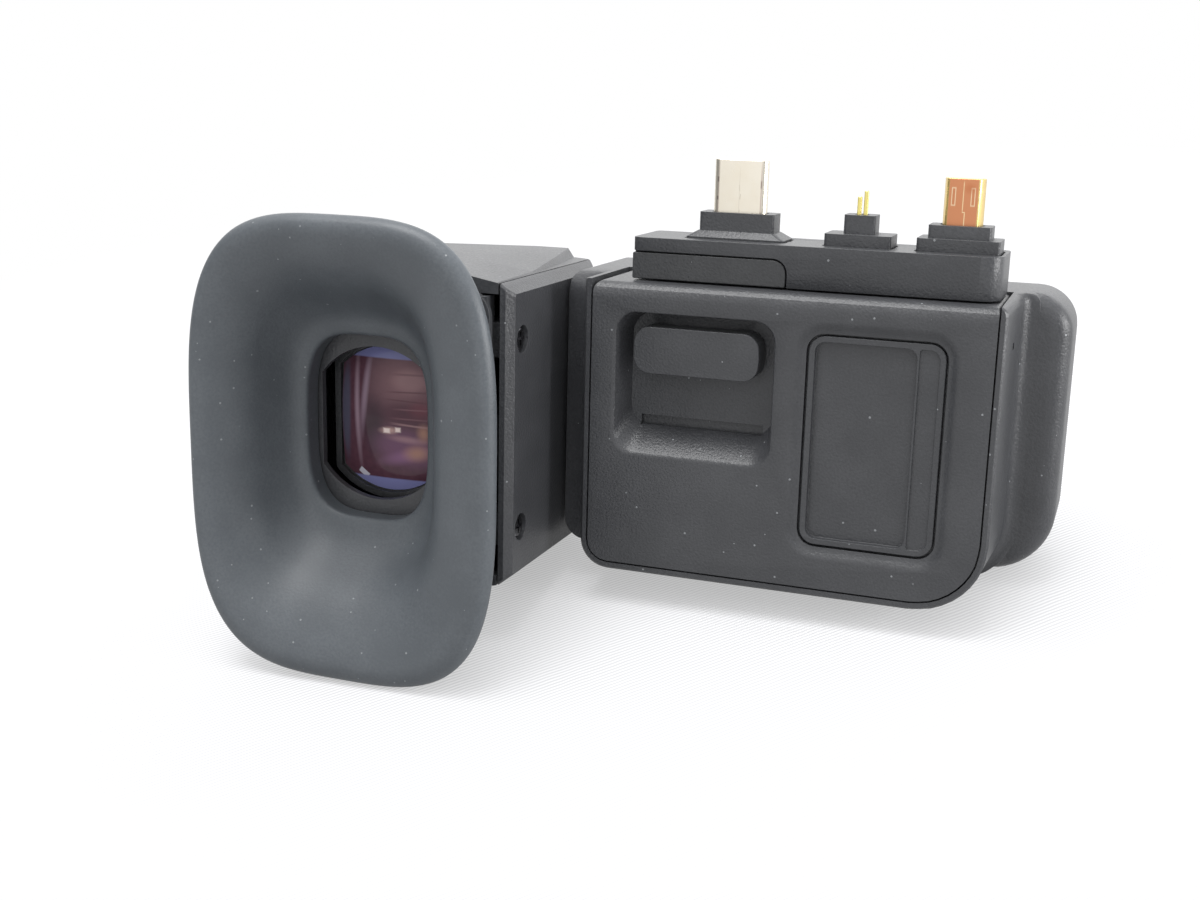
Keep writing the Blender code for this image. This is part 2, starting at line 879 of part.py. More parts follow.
def add_base_shell():
    slab = [slab_section(slab_front + in_by, draw) for in_by, draw in quarter_round(slab_round)]
    slab += [
        slab_section(slab_back - in_by, draw) for in_by, draw in reversed(quarter_round(slab_back_round))
    ]
    shell = piece("base_shell", loft(slab), "charcoal_plastic", base)
    reach = rim + seam
    block_back = slab_front + 2 * shell_wall + seat
    shoulder_corners = (slab_corners[0], seat, seat, slab_corners[3])
    shoulder = rounded(slab_left, shoulder_right, slab_bottom, slab_top, shoulder_corners)
    join(shell, extruded(shoulder, "Y", shoulder_front, block_back))
    # The shoulder's edge towards the camera is well rounded
    crown = [
        (shoulder_front - overrun, slab_top + overrun), (shoulder_front - overrun, slab_top - shoulder_round)
    ]
    for step in range(arc_steps + 1):
        angle = math.pi - 0.5 * math.pi * step / arc_steps
        crown.append(
            (
                shoulder_front + shoulder_round * (1 + math.cos(angle)),
                slab_top - shoulder_round * (1 - math.sin(angle)),
            )
        )
    crown.append((shoulder_front + shoulder_round, slab_top + overrun))
    cut(shell, extruded(crown, "X", slab_left - overrun, -rim))
    sections = [
        block_section(0, reach - rim_edge, reach - rim_edge),
        block_section(rim_edge, reach, reach),
    ]
    # Its right side runs into the slab's front with a cove
    wall_out = reach + block_flare
    for out_by, in_by in quarter_round(block_cove):
        sections.append(block_section(slab_front - in_by, reach, wall_out + out_by))
    sections.append(block_section(block_back, reach, wall_out + block_cove))
    join(shell, loft(sections))
    # Room for the cover face, for its top edge, and the hollow inside
    ledge = cover_wall + seat
    hollow_out = reach - shell_wall
    hollow_top = face_height - cover_wall
    hollow_corners = (face_corners[0] + hollow_out, face_corners[1] + hollow_out, seam, seam)
    hollow = rounded(-hollow_out, face_width + hollow_out, -hollow_out, hollow_top, hollow_corners)
    slab_box = (slab_left, slab_right, slab_bottom, slab_top)
    deep_box, deep_corners = inset(slab_box, slab_corners, shell_wall)
    deep = rounded(deep_box[0], deep_box[1], deep_box[2], hollow_top, deep_corners)
    side_right = shoulder_right - shell_wall
    side_top = slab_top - shoulder_round
    side = rounded(
        deep_box[0], side_right, deep_box[2], side_top, (deep_corners[0], seat, seat, deep_corners[3])
    )
    inner_back = slab_back - shell_wall
    cut(
        shell,
        extruded(face_outline(seam), "Y", -overrun, ledge),
        box(
            (-seam, -overrun, hollow_top - seat),
            (face_width + seam, cover_return + seat, face_height + overrun),
        ),
        extruded(hollow, "Y", ledge - overrun, block_back - shell_wall),
        extruded(deep, "Y", slab_front + shell_wall, inner_back),
        extruded(side, "Y", shoulder_front + shell_wall, inner_back),
    )
    mark_x = face_width + reach + block_flare * latch_mark_y / (slab_front - block_cove)
    for z in latch_mark_heights:
        cut(shell, centred_box((mark_x, latch_mark_y, z), latch_mark))
    # Posts that carry the main board and take the screws
    board_back = board_front + board_thickness
    for place in shell_screw_places:
        join(
            shell,
            rod(
                "Y",
                post_radius,
                screw_centre(place, board_back + seat),
                screw_centre(place, inner_back + seat),
            ),
        )
    for place in shell_screw_places:
        head_floor = slab_back - screw_recess - screw_head_height - screw_cone - seam
        cut(
            shell,
            rod(
                "Y",
                screw_shank + seam,
                screw_centre(place, board_front),
                screw_centre(place, slab_back),
                bore_steps,
            ),
            rod(
                "Y",
                screw_head + seam,
                screw_centre(place, head_floor),
                screw_centre(place, slab_back + overrun),
            ),
        )
    # Slot for the hinge knuckle in the shoulder, and the two sockets' mouths in the outer side
    cut(
        shell,
        box(
            (slab_left - overrun, hinge_y - knuckle_stem / 2 - seat, axis_z - knuckle_half - seat),
            (
                slab_left + shell_wall + overrun,
                hinge_y + knuckle_stem / 2 + seat,
                axis_z + knuckle_half + seat,
            ),
        ),
        rod(
            "Z",
            headphone_mouth,
            (headphone_x, headphone_centre(), slab_bottom - overrun),
            (headphone_x, headphone_centre(), slab_bottom + shell_wall + overrun),
        ),
        extruded(
            charge_outline(seat),
            "Z",
            slab_bottom - overrun,
            slab_bottom + shell_wall + overrun,
        ),
    )


def headphone_centre():
    return board_front + board_thickness + solder + headphone_size[1] / 2


def charge_centre():
    return board_front + board_thickness + solder + charge_size[1] / 2


def charge_outline(by):
    """Mouth of the charging socket, a slot with round ends."""
    width = charge_mouth[0] / 2 + by
    depth = charge_mouth[1] / 2 + by
    low = charge_centre() - depth
    return rounded(charge_x - width, charge_x + width, low, low + 2 * depth, (depth * end_round_share,) * 4)


def add_boards():
    left = board_margin
    board = piece(
        "main_board",
        box(
            (left, board_front, board_margin),
            (
                face_width - board_margin + cover_wall,
                board_front + board_thickness,
                face_height - cover_wall - board_margin,
            ),
        ),
        "circuit_board",
        base,
    )
    for place in shell_screw_places:
        cut(
            board,
            rod(
                "Y",
                screw_shank + seam,
                screw_centre(place, board_front - overrun),
                screw_centre(place, board_front + board_thickness + overrun),
                bore_steps,
            ),
        )
    chip_front = board_front + board_thickness + solder
    for name, size, (across_share, up_share) in zip(
        ("bridge_chip", "power_chip"), chip_sizes, chip_place_shares
    ):
        middle = Vector((across_share * face_width, chip_front + size[1] / 2, up_share * face_height))
        piece(name, centred_box(middle, size), "chip_black", base, middle)
    top = face_height - cover_wall - solder
    front = riser_front + spigot_inset + seat
    piece(
        "plug_board",
        box(
            (riser_left + spigot_inset, front, top - plug_board_thickness),
            (riser_right - spigot_inset, front + plug_board_depth, top),
        ),
        "circuit_board",
        base,
    )


def add_sockets():
    floor = slab_bottom + shell_wall + seat
    y = headphone_centre()
    centre = Vector((headphone_x, y, floor + headphone_size[2] / 2))
    socket = piece("headphone_socket", centred_box(centre, headphone_size), "dark_plastic", base, centre)
    soften(socket, seam)
    bore_end = (headphone_x, y, floor + headphone_size[2] * socket_bore_share)
    cut(socket, rod("Z", headphone_bore, (headphone_x, y, floor - overrun), bore_end))
    y = charge_centre()
    centre = Vector((charge_x, y, floor + charge_size[2] / 2))
    socket = piece("charge_socket", centred_box(centre, charge_size), "bright_steel", base, centre)
    soften(socket, seam)
    bore_end = floor + charge_size[2] * socket_bore_share
    cut(socket, extruded(charge_outline(-socket_wall / 2), "Z", floor - overrun, bore_end))
    tongue = Vector((charge_x, y, bore_end - charge_tongue[2] / 2 + seam))
    join(socket, centred_box(tongue, charge_tongue))


def add_screw(name, parent, tip, turn, length, look):
    """A cross-head screw, set out from the tip of its shank."""
    top = length + screw_cone + screw_head_height
    profile = [
        (0, top),
        (screw_head * screw_crown_share, top),
        (screw_head, top - screw_head_height * screw_edge_share),
        (screw_head, length + screw_cone),
        (screw_shank, length),
        (screw_shank, screw_shank * screw_point_share),
        (0, 0),
    ]
    screw = turned(name, profile, look, parent, tip, turn, small_round_steps)
    turn_matrix = screw.rotation_euler.to_matrix().to_4x4()
    for size in ((cross_span, cross_width), (cross_width, cross_span)):
        mesh = box((-size[0] / 2, -size[1] / 2, top - cross_depth), (size[0] / 2, size[1] / 2, top + overrun))
        mesh.transform(Matrix.Translation(tip) @ turn_matrix)
        cut(screw, mesh)


def add_shell_screws():
    for index, place in enumerate(shell_screw_places):
        tip = screw_centre(place, screw_tip())
        add_screw(
            f"shell_screw_{index + 1}", base, tip, (-math.pi / 2, 0, 0), shell_screw_length, "black_steel"
        )


# Base: connector block and plugs


def riser_outline():
    corners = (riser_round, riser_front_round, riser_round, riser_round)
    return rounded(riser_left, riser_right, riser_front, riser_back, corners)


def panel_outline(gap):
    """The inset at the left of the block's front, with one round corner."""
    low = face_height + seat
    return rounded(
        riser_left - (overrun if gap else 0),
        riser_left + panel_width + gap,
        low - (overrun if gap else 0),
        low + panel_height + gap,
        (seam, seam, panel_corner + gap, seam),
    )


def add_connector_block():
    low = face_height + seat
    block = piece("connector_block", extruded(riser_outline(), "Z", low, seat_z), "charcoal_plastic", base)
    soften(block, riser_edge)
    join(
        block,
        box(
            (riser_left + spigot_inset, riser_front + spigot_inset, face_height - cover_wall + solder),
            (riser_right - spigot_inset, riser_back - spigot_inset, low + riser_height / 2),
        ),
    )
    back = riser_front + panel_step + panel_thickness
    cut(block, extruded(panel_outline(seam), "Y", riser_front - overrun, back + seam))
    # Seats that the collars sink into, and a dimple either side of the data plug
    for x, flange in ((data_x, data_flange), (contact_x, contact_flange), (video_x, video_flange)):
        pocket = plug_outline(x, flange, seam)
        cut(block, extruded(pocket, "Z", seat_z - collar_sink - seat, seat_z + overrun))
    for side in (1, -1):
        x = data_x + side * dimple_reach
        low_end = (x, plug_line, seat_z - dimple_depth)
        cut(block, rod("Z", dimple_radius, low_end, (x, plug_line, seat_z + overrun), bore_steps))
    piece(
        "connector_panel",
        extruded(panel_outline(0), "Y", riser_front + panel_step, back),
        "dark_plastic",
        base,
    )


def plug_outline(x, size, by=0.0, corner=None):
    width = size[0] / 2 + by
    depth = size[1] / 2 + by
    radius = collar_round if corner is None else corner
    return rounded(x - width, x + width, plug_line - depth, plug_line + depth, (radius,) * 4)


def data_outline(by=0.0):
    """Section of the data plug's shell, with round ends."""
    return plug_outline(data_x, data_shell, by, data_shell[1] * data_end_share + by)


def video_outline(by=0.0):
    """Section of the video plug's shell, narrower towards the front."""
    wide = video_shell[0] / 2 + by
    narrow = wide - video_narrow
    front = plug_line - video_shell[1] / 2 - by
    back = plug_line + video_shell[1] / 2 + by
    bend = plug_line
    return [
        (video_x - narrow, front),
        (video_x + narrow, front),
        (video_x + wide, bend),
        (video_x + wide, back),
        (video_x - wide, back),
        (video_x - wide, bend),
    ]


def collar_floor():
    return seat_z - collar_sink


def add_collar(name, x, flange, block, hole, slope=0.0):
    """A stepped collar in the block, open in the middle for what passes through it."""
    floor = collar_floor()
    step = seat_z + flange[2]
    if slope:
        drawn_in = (flange[0] - (flange[0] - block[0]) * slope, flange[1] - (flange[1] - block[1]) * slope)
        sections = [
            at_height(plug_outline(x, flange), floor),
            at_height(plug_outline(x, flange), seat_z + seam),
            at_height(plug_outline(x, drawn_in), step),
        ]
        collar = piece(name, loft(sections), "dark_plastic", base)
    else:
        collar = piece(name, extruded(plug_outline(x, flange), "Z", floor, step), "dark_plastic", base)
        soften(collar, collar_edge)
    top = extruded(plug_outline(x, block), "Z", step - flange[2] / 2, step + block[2])
    join(collar, top)
    cut(collar, extruded(hole, "Z", floor - overrun, step + block[2] + overrun))
    return step + block[2]


def add_plug_shell(name, outline, size, top, look):
    """The thin metal shell of a plug, open at its mouth, and the insert that it holds."""
    floor = collar_floor()
    end = top + size[2]
    shell = piece(f"{name}_shell", extruded(outline(), "Z", floor, end), look, base)
    cut(shell, extruded(outline(-plug_wall), "Z", floor + plug_seat_depth, end + overrun))
    inside = outline(-plug_wall - solder)
    low = floor + plug_seat_depth + solder
    insert = piece(f"{name}_insert", extruded(inside, "Z", low, end - plug_wall), "contact_insert", base)
    return shell, insert, end


def add_plugs():
    top = add_collar("data_plug_collar", data_x, data_flange, data_block, data_outline(seam), skirt_share)
    shell, insert, end = add_plug_shell("data_plug", data_outline, data_shell, top, "plug_steel")
    slot_half = data_shell[0] / 2 - plug_wall * 2 - solder
    cut(
        insert,
        box(
            (data_x - slot_half, plug_line - data_tongue_slot / 2, top),
            (data_x + slot_half, plug_line + data_tongue_slot / 2, end + overrun),
        ),
    )
    top = add_collar("video_plug_collar", video_x, video_flange, video_block, video_outline(seam))
    shell, insert, end = add_plug_shell("video_plug", video_outline, video_shell, top, "plug_gold")
    for side in (-1, 1):
        middle = Vector((video_x + side * latch_spread, plug_line - video_shell[1] / 2, top + latch_rise))
        cut(shell, centred_box(middle, (latch_width, plug_wall * 3, latch_height)))

    floor = collar_floor()
    pin_room = (pin_pitch + pin_side, pin_side)
    hole = plug_outline(contact_x, pin_room, seam, seam)
    add_collar("contact_collar", contact_x, contact_flange, contact_block, hole)
    for name, side, length in (("contact_pin_long", 1, long_pin), ("contact_pin_short", -1, short_pin)):
        x = contact_x + side * pin_pitch / 2
        low = Vector((x - pin_side / 2, plug_line - pin_side / 2, floor))
        high = Vector((x + pin_side / 2, plug_line + pin_side / 2, seat_z + seat + length))
        soften(piece(name, box(low, high), "plug_gold", base, low), pin_side * pin_edge_share)


# Hinge


def hinge_point(z):
    return Vector((hinge_x, hinge_y, z))


def add_hinge():
    low = axis_z - knuckle_half
    high = axis_z + knuckle_half
    barrel = rod("Z", knuckle_radius, hinge_point(low), hinge_point(high), round_steps)
    knuckle = piece("hinge_knuckle", barrel, "black_steel", base, hinge_point(axis_z))
    foot_left = slab_left + shell_wall + seat
    join(
        knuckle,
        box(
            (hinge_x, hinge_y - knuckle_stem / 2, low),
            (foot_left + knuckle_foot / 2, hinge_y + knuckle_stem / 2, high),
        ),
        box(
            (foot_left, hinge_y - knuckle_stem / 2 - knuckle_foot_border, low - knuckle_foot_border),
            (
                foot_left + knuckle_foot,
                hinge_y + knuckle_stem / 2 + knuckle_foot_border,
                high + knuckle_foot_border,
            ),
        ),
    )
    cut(
        knuckle,
        rod(
            "Z", hinge_pin_radius + slip, hinge_point(low - overrun), hinge_point(high + overrun), round_steps
        ),
    )
    for name, side in (("upper", 1), ("lower", -1)):
        face = axis_z + side * knuckle_half
        tip = face + side * (notch_gap * 2 + hinge_pin_in_head)
        tail = tip - side * hinge_pin_length
        pin = rod(
            "Z", hinge_pin_radius, hinge_point(min(tip, tail)), hinge_point(max(tip, tail)), round_steps
        )
        soften(piece(f"hinge_pin_{name}", pin, "bright_steel", base, hinge_point(tail)), seam, 1)
        start = face + side * (notch_gap - washer_thickness / 2)
        end = start + side * washer_thickness
        washer = piece(
            f"friction_washer_{name}",
            rod("Z", washer_radius, hinge_point(min(start, end)), hinge_point(max(start, end)), round_steps),
            "bright_steel",
            base,
            hinge_point(start),
        )
        bore = hinge_pin_radius + slip
        cut(
            washer,
            rod(
                "Z",
                bore,
                hinge_point(min(start, end) - overrun),
                hinge_point(max(start, end) + overrun),
                round_steps,
            ),
        )


def far_corner():
    """Cutter that rounds the head's far lower corner about the hinge, so that it clears the base in tilting."""
    reach = hinge_round + 2 * overrun
    outline = [(hinge_x + reach, hinge_y), (hinge_x + reach, hinge_y + reach), (hinge_x, hinge_y + reach)]
    steps = arc_steps * 2
    for step in range(steps + 1):
        angle = 0.5 * math.pi * (1 - step / steps)
        outline.append((hinge_x + hinge_round * math.cos(angle), hinge_y + hinge_round * math.sin(angle)))
    return extruded(outline, "Z", axis_z - 2 * head_half, axis_z + 2 * head_half)


def notch():
    """Room for the knuckle in the head's far lower corner, open below and behind."""
    reach = knuckle_radius + notch_gap
    half = knuckle_half + 2 * notch_gap
    far = hinge_round + overrun
    return box(
        (hinge_x - reach, hinge_y - reach, axis_z - half),
        (hinge_x + far, hinge_y + far, axis_z + half),
    )


# Head: housing


def head_section(y, points):
    """Outline of the head housing at one depth, mirrored about the lens axis. Points are X and height."""
    left = head_left
    top = points[-1][1] - roof_fall
    upper = points + [
        (left + head_corner, top),
        (left + head_corner * head_corner_share, top - head_corner * head_corner_share),
        (left, top - head_corner),
    ]
    outline = [(x, y, axis_z + half) for x, half in upper]
    outline += [(x, y, axis_z - half) for x, half in reversed(upper)]
    return outline


def roof_sections():
    """The roof's facets: a flat by the seam, a step that deepens to the back, and a slope to the plateau."""
    right = panel_x - plate_thickness - seam
    low = head_seam_half
    high = head_half
    rise = high - low
    back = hinge_y + hinge_round
    rows = zip(roof_depth_shares, roof_flats, roof_steps, roof_slopes, roof_step_shares, roof_slope_shares)
    for depth_share, flat, step, slope, step_share, slope_share in rows:
        y = head_front + depth_share * (back - head_front)
        points = [
            (right, low),
            (right - flat, low),
            (right - step, low + rise * step_share),
            (right - slope, low + rise * slope_share),
        ]
        yield head_section(y, points)


def add_head_cover():
    back = hinge_y + hinge_round
    sections = list(roof_sections())
    cover = piece("head_cover", loft(sections), "charcoal_plastic", tilt)
    inner_half = head_seam_half - head_wall
    inner_left = head_left + head_wall
    cut(
        cover,
        box(
            (inner_left, head_front - overrun, axis_z - inner_half),
            (panel_x, hinge_block_front, axis_z + inner_half),
        ),
        box(
            (inner_left, hinge_block_front - overrun, axis_z - inner_half),
            (hinge_block_left, back - head_wall, axis_z + inner_half),
        ),
        far_corner(),
        notch(),
    )
    inner = knuckle_half + 2 * notch_gap
    for side in (1, -1):
        tip = axis_z + side * (inner + hinge_pin_in_head + seat)
        mouth = axis_z + side * (inner - overrun)
        cut(
            cover,
            rod(
                "Z",
                hinge_pin_radius + slip,
                hinge_point(min(tip, mouth)),
                hinge_point(max(tip, mouth)),
                round_steps,
            ),
        )
        z = axis_z + side * head_screw_back_half
        cut(cover, head_screw_bore(head_screw_back, z))
    # Hole for the shaft of the dial, and the round seat of the dial itself
    cut(
        cover,
        rod(
            "Z",
            dial_shaft + slip,
            (axis_x, dial_y, axis_z - head_half - overrun),
            (axis_x, dial_y, axis_z - inner_half + overrun),
            round_steps,
        ),
        rod(
            "Z",
            dial_radius + seat,
            (axis_x, dial_y, axis_z - head_half - overrun),
            (axis_x, dial_y, dial_floor() + seat),
            round_steps,
        ),
    )


def head_screw_bore(y, z):
    right = panel_x - plate_thickness + overrun
    left = panel_x - screw_recess - screw_head_height - screw_cone - head_screw_length - seat
    return rod("X", screw_shank + seam, (left, y, z), (right, y, z), bore_steps)


def dial_floor():
    """Height of the dial's inner face."""
    return axis_z - head_half - dial_proud + dial_height


def plate_outline(front_by, side_by):
    """Outline of the bottom plate in Y and Z, drawn in at its front end and at its sides."""
    back = hinge_y + hinge_round
    half = plate_half - side_by
    return rounded(plate_front + front_by, back, axis_z - half, axis_z + half, (plate_corner,) * 4)


def add_head_plate():
    inner = panel_x - plate_thickness
    bend = panel_x - plate_front_chamfer
    side_share = plate_front_chamfer / plate_thickness
    sections = [
        [(inner, y, z) for y, z in plate_outline(0, 0)],
        [(bend, y, z) for y, z in plate_outline(0, plate_chamfer * (1 - side_share))],
        [(panel_x, y, z) for y, z in plate_outline(plate_front_chamfer, plate_chamfer)],
    ]
    plate = piece("head_bottom_cover", loft(sections), "charcoal_plastic", tilt)
    cut(plate, far_corner(), notch())
    for y, z in head_screw_spots():
        head_floor = panel_x - screw_recess - screw_head_height - screw_cone - seam
        cut(
            plate,
            rod("X", screw_head + seam, (head_floor, y, z), (panel_x + overrun, y, z)),
        )


def head_screw_spots():
    for y, half in ((head_screw_front, head_screw_front_half), (head_screw_back, head_screw_back_half)):
        for side in (1, -1):
            yield y, axis_z + side * half


def add_head_screws():
    """The screws' heads sink into the plate, and their shanks go into the frame's lugs and the hinge block."""
    for index, (y, z) in enumerate(head_screw_spots()):
        tip_x = panel_x - screw_recess - screw_head_height - screw_cone - head_screw_length
        add_screw(
            f"head_screw_{index + 1}",
            tilt,
            Vector((tip_x, y, z)),
            (0, math.pi / 2, 0),
            head_screw_length,
            "black_steel",
        )


# Head: eyepiece


def squared_oval(x, z, half_x, half_z):
    """Outline between an ellipse and a rectangle."""
    power = 2 / cup_squareness_share
    points = []
    for step in range(cup_steps):
        angle = 2 * math.pi * (step + 0.5) / cup_steps
        across = math.copysign(abs(math.cos(angle)) ** power, math.cos(angle))
        up = math.copysign(abs(math.sin(angle)) ** power, math.sin(angle))
        points.append((x + half_x * across, z + half_z * up))
    return points


def add_eyepiece_frame():
    left = head_left + frame_border
    right = panel_x - plate_thickness - frame_border
    half = head_seam_half - frame_border
    outer = rounded(left, right, axis_z - half, axis_z + half, (frame_corner,) * 4)
    frame = piece(
        "eyepiece_frame", extruded(outer, "Y", frame_front, head_front - seat), "dark_plastic", tilt
    )
    inner_half = head_seam_half - head_wall - seat
    plug_right = panel_x - plate_thickness - head_wall
    plug_left = head_left + head_wall + seat
    back = frame_front_face + frame_floor
    join(
        frame,
        box((plug_left, frame_front + seat, axis_z - inner_half), (plug_right, back, axis_z + inner_half)),
    )
    for side in (1, -1):
        z = axis_z + side * head_screw_front_half
        lug_right = panel_x - plate_thickness - seam
        join(
            frame,
            box(
                (lug_right - lug_reach, back - frame_floor / 2, z - lug_half),
                (lug_right, back - frame_floor / 2 + lug_depth, z + lug_half),
            ),
        )
    sleeve_x = cup_hole_half_x + cup_sleeve + seam
    sleeve_z = cup_hole_half_z + cup_sleeve + seam
    cut(
        frame,
        extruded(
            squared_oval(axis_x, axis_z, sleeve_x, sleeve_z), "Y", frame_front - overrun, frame_front_face
        ),
        extruded(
            flatted_circle(axis_x, axis_z, opening_radius, opening_flat), "Y", frame_front, back + overrun
        ),
    )
    for side in (1, -1):
        cut(frame, head_screw_bore(head_screw_front, axis_z + side * head_screw_front_half))


def cup_section(depth_share, spread_share):
    """One ring of the eyecup: a rounded square that grows from the hole to the lip."""
    y = cup_back + depth_share * (cup_front - cup_back)
    half_x = cup_hole_half_x + spread_share * (cup_half_x - cup_hole_half_x)
    half_z = cup_hole_half_z + spread_share * (cup_half_z - cup_hole_half_z)
    centre_x = axis_x + spread_share * (cup_x - axis_x)
    centre_z = axis_z + spread_share * (cup_z - axis_z)
    return at_depth(squared_oval(centre_x, centre_z, half_x, half_z), y)


def add_eyecup():
    """The funnel and its rolled lip, with a sleeve behind that plugs into the frame."""
    sections = [cup_section(*row) for row in cup_profile_shares]
    sleeve_back = cup_back + cup_sleeve_depth
    hole = squared_oval(axis_x, axis_z, cup_hole_half_x, cup_hole_half_z)
    sleeve = squared_oval(axis_x, axis_z, cup_hole_half_x + cup_sleeve, cup_hole_half_z + cup_sleeve)
    sections += [at_depth(sleeve, cup_back), at_depth(sleeve, sleeve_back), at_depth(hole, sleeve_back)]
    piece("eyecup", loft(sections, ring=True), "soft_rubber", tilt)


def add_lens(name, radius, flat, back, thickness, sag):
    """A lens that bulges both ways, turned about the optical axis and ground flat on two sides."""
    edge = thickness - 2 * sag
    profile = []
    for step in range(arc_steps + 1):
        share = step / arc_steps
        profile.append((radius * share, sag + edge + sag * (1 - share * share)))
    for step in range(arc_steps + 1):
        share = 1 - step / arc_steps
        profile.append((radius * share, sag * share * share))
    centre = Vector((axis_x, back, axis_z))
    lens = turned(name, profile, "coated_glass", focus, centre, (math.pi / 2, 0, 0), round_steps)
    keep = (2 * flat, 2 * thickness + 2 * overrun, 2 * radius + 2 * overrun)
    keep_inside(lens, centred_box(centre, keep))


def lens_outline(radius, flat, by):
    return flatted_circle(axis_x, axis_z, radius + by, flat + by)


def add_optics():
    add_lens("eye_lens", eye_lens_radius, eye_lens_flat, eye_lens_back, eye_lens_thickness, eye_lens_sag)
    add_lens(
        "middle_lens",
        inner_lens_radius,
        inner_lens_flat,
        middle_lens_back,
        middle_lens_thickness,
        inner_lens_sag,
    )
    add_lens(
        "rear_lens", inner_lens_radius, inner_lens_flat, rear_lens_back, rear_lens_thickness, inner_lens_sag
    )
    # The barrel holds the eye lens in its front seat and the two others in its bore
    outer = lens_outline(eye_lens_radius, eye_lens_flat, barrel_wall)
    barrel = piece("lens_barrel", extruded(outer, "Y", barrel_front, barrel_back), "dark_plastic", focus)
    for side in (1, -1):
        z = axis_z + side * guide_rod_half
        join(
            barrel,
            rod("Y", ear_radius, (axis_x, -ear_thickness / 2, z), (axis_x, ear_thickness / 2, z)),
            box(
                (axis_x - ear_radius, -ear_thickness / 2, min(z, z - side * ear_radius * 3)),
                (axis_x + ear_radius, ear_thickness / 2, max(z, z - side * ear_radius * 3)),
            ),
        )
    seat_back = eye_lens_back + solder
    cut(
        barrel,
        extruded(
            lens_outline(eye_lens_radius, eye_lens_flat, solder), "Y", barrel_front - overrun, seat_back
        ),
        extruded(
            lens_outline(inner_lens_radius, inner_lens_flat, solder),
            "Y",
            seat_back - overrun,
            barrel_back - barrel_ledge,
        ),
        extruded(
            lens_outline(inner_lens_radius - barrel_ledge, inner_lens_flat - barrel_ledge, 0),
            "Y",
            seat_back,
            barrel_back + overrun,
        ),
    )
    for side in (1, -1):
        z = axis_z + side * guide_rod_half
        cut(barrel, rod("Y", guide_rod_radius + slip, (axis_x, -ear_radius, z), (axis_x, ear_radius, z)))
    ring_back = barrel_front - seam
    ring = piece(
        "lens_ring",
        extruded(
            lens_outline(eye_lens_radius, eye_lens_flat, barrel_wall - seam),
            "Y",
            ring_back - lens_ring_height,
            ring_back,
        ),
        "dark_plastic",
        focus,
    )
    cut(
        ring,
        extruded(
            lens_outline(eye_lens_radius, eye_lens_flat, seam),
            "Y",
            ring_back - lens_ring_height - overrun,
            ring_back + overrun,
        ),
    )
    # Rods that the barrel slides on
    rod_back = hinge_y + hinge_round - head_wall - seat
    for name, side in (("upper", 1), ("lower", -1)):
        start = Vector((axis_x, frame_front_face + frame_floor + seat, axis_z + side * guide_rod_half))
        end = Vector((axis_x, rod_back, axis_z + side * guide_rod_half))
        piece(f"guide_rod_{name}", rod("Y", guide_rod_radius, start, end), "bright_steel", tilt, start)


def add_display():
    panel_middle = Vector((axis_x, display_front + display_size[1] / 2, axis_z))
    piece("display_panel", centred_box(panel_middle, display_size), "display_black", tilt, panel_middle)
    glass_middle = Vector((axis_x, display_front - solder - glass_thickness / 2, axis_z))
    glass_size = (display_size[0], glass_thickness, display_size[2])
    piece("display_window", centred_box(glass_middle, glass_size), "coated_glass", tilt, glass_middle)
    # The holder carries the glass and the panel, and hangs on the two rods
    middle = Vector((axis_x, display_front, axis_z))
    half_z = guide_rod_half + ear_radius
    holder = piece(
        "display_holder",
        box(
            (axis_x - holder_half, display_front - holder_depth / 2, axis_z - half_z),
            (axis_x + holder_half, display_front + holder_depth / 2, axis_z + half_z),
        ),
        "dark_plastic",
        tilt,
        middle,
    )
    soften(holder, seat)
    room = display_front - solder * 2 - glass_thickness
    cut(
        holder,
        box(
            (axis_x - display_size[0] / 2 - solder, room, axis_z - display_size[2] / 2 - solder),
            (
                axis_x + display_size[0] / 2 + solder,
                display_front + holder_depth / 2 + overrun,
                axis_z + display_size[2] / 2 + solder,
            ),
        ),
        centred_box(
            (axis_x, display_front - holder_depth / 2, axis_z), (
                holder_window[0], holder_depth, holder_window[1]
            )
        ),
    )
    for side in (1, -1):
        z = axis_z + side * guide_rod_half
        cut(
            holder,
            rod(
                "Y",
                guide_rod_radius + slip,
                (axis_x, display_front - holder_depth, z),
                (axis_x, display_front + holder_depth, z),
            ),
        )
    board_y = display_front + holder_depth / 2 + seat + head_board_size[1] / 2
    board_middle = Vector((hinge_block_left - seat - head_board_size[0] / 2, board_y, axis_z))
    board = piece(
        "head_board", centred_box(board_middle, head_board_size), "circuit_board", tilt, board_middle
    )
    soften(board, solder)


def add_dial():
    low = axis_z - head_half - dial_proud
    high = dial_floor()
    outline = []
    count = dial_flutes * 4
    for step in range(count):
        angle = 2 * math.pi * step / count
        radius = dial_radius - dial_flute * (0.5 - 0.5 * math.cos(dial_flutes * angle))
        outline.append((axis_x + radius * math.cos(angle), dial_y + radius * math.sin(angle)))
    centre = Vector((axis_x, dial_y, low))
    dial = piece("diopter_dial", extruded(outline, "Z", low, high), "dark_plastic", dial_axis, centre)
    join(
        dial,
        rod(
            "Z",
            dial_shaft,
            (axis_x, dial_y, high - overrun),
            (axis_x, dial_y, high + dial_shaft_length),
            round_steps,
        ),
    )
    cam_low = high + dial_shaft_length + solder
    cam_centre = Vector((axis_x, dial_y, cam_low))
    cam = piece(
        "dial_cam",
        rod("Z", cam_radius, cam_centre, cam_centre + Vector((0, 0, cam_thickness)), round_steps),
        "bright_steel",
        dial_axis,
        cam_centre,
    )
    soften(cam, seam, 1)


add_rear_cover()
add_storage_tray()
add_selector()
add_base_shell()
add_boards()
add_sockets()
add_shell_screws()
add_connector_block()
add_plugs()
add_hinge()
add_head_cover()
add_head_plate()
add_head_screws()
add_eyepiece_frame()
add_eyecup()
add_optics()
add_display()
add_dial()
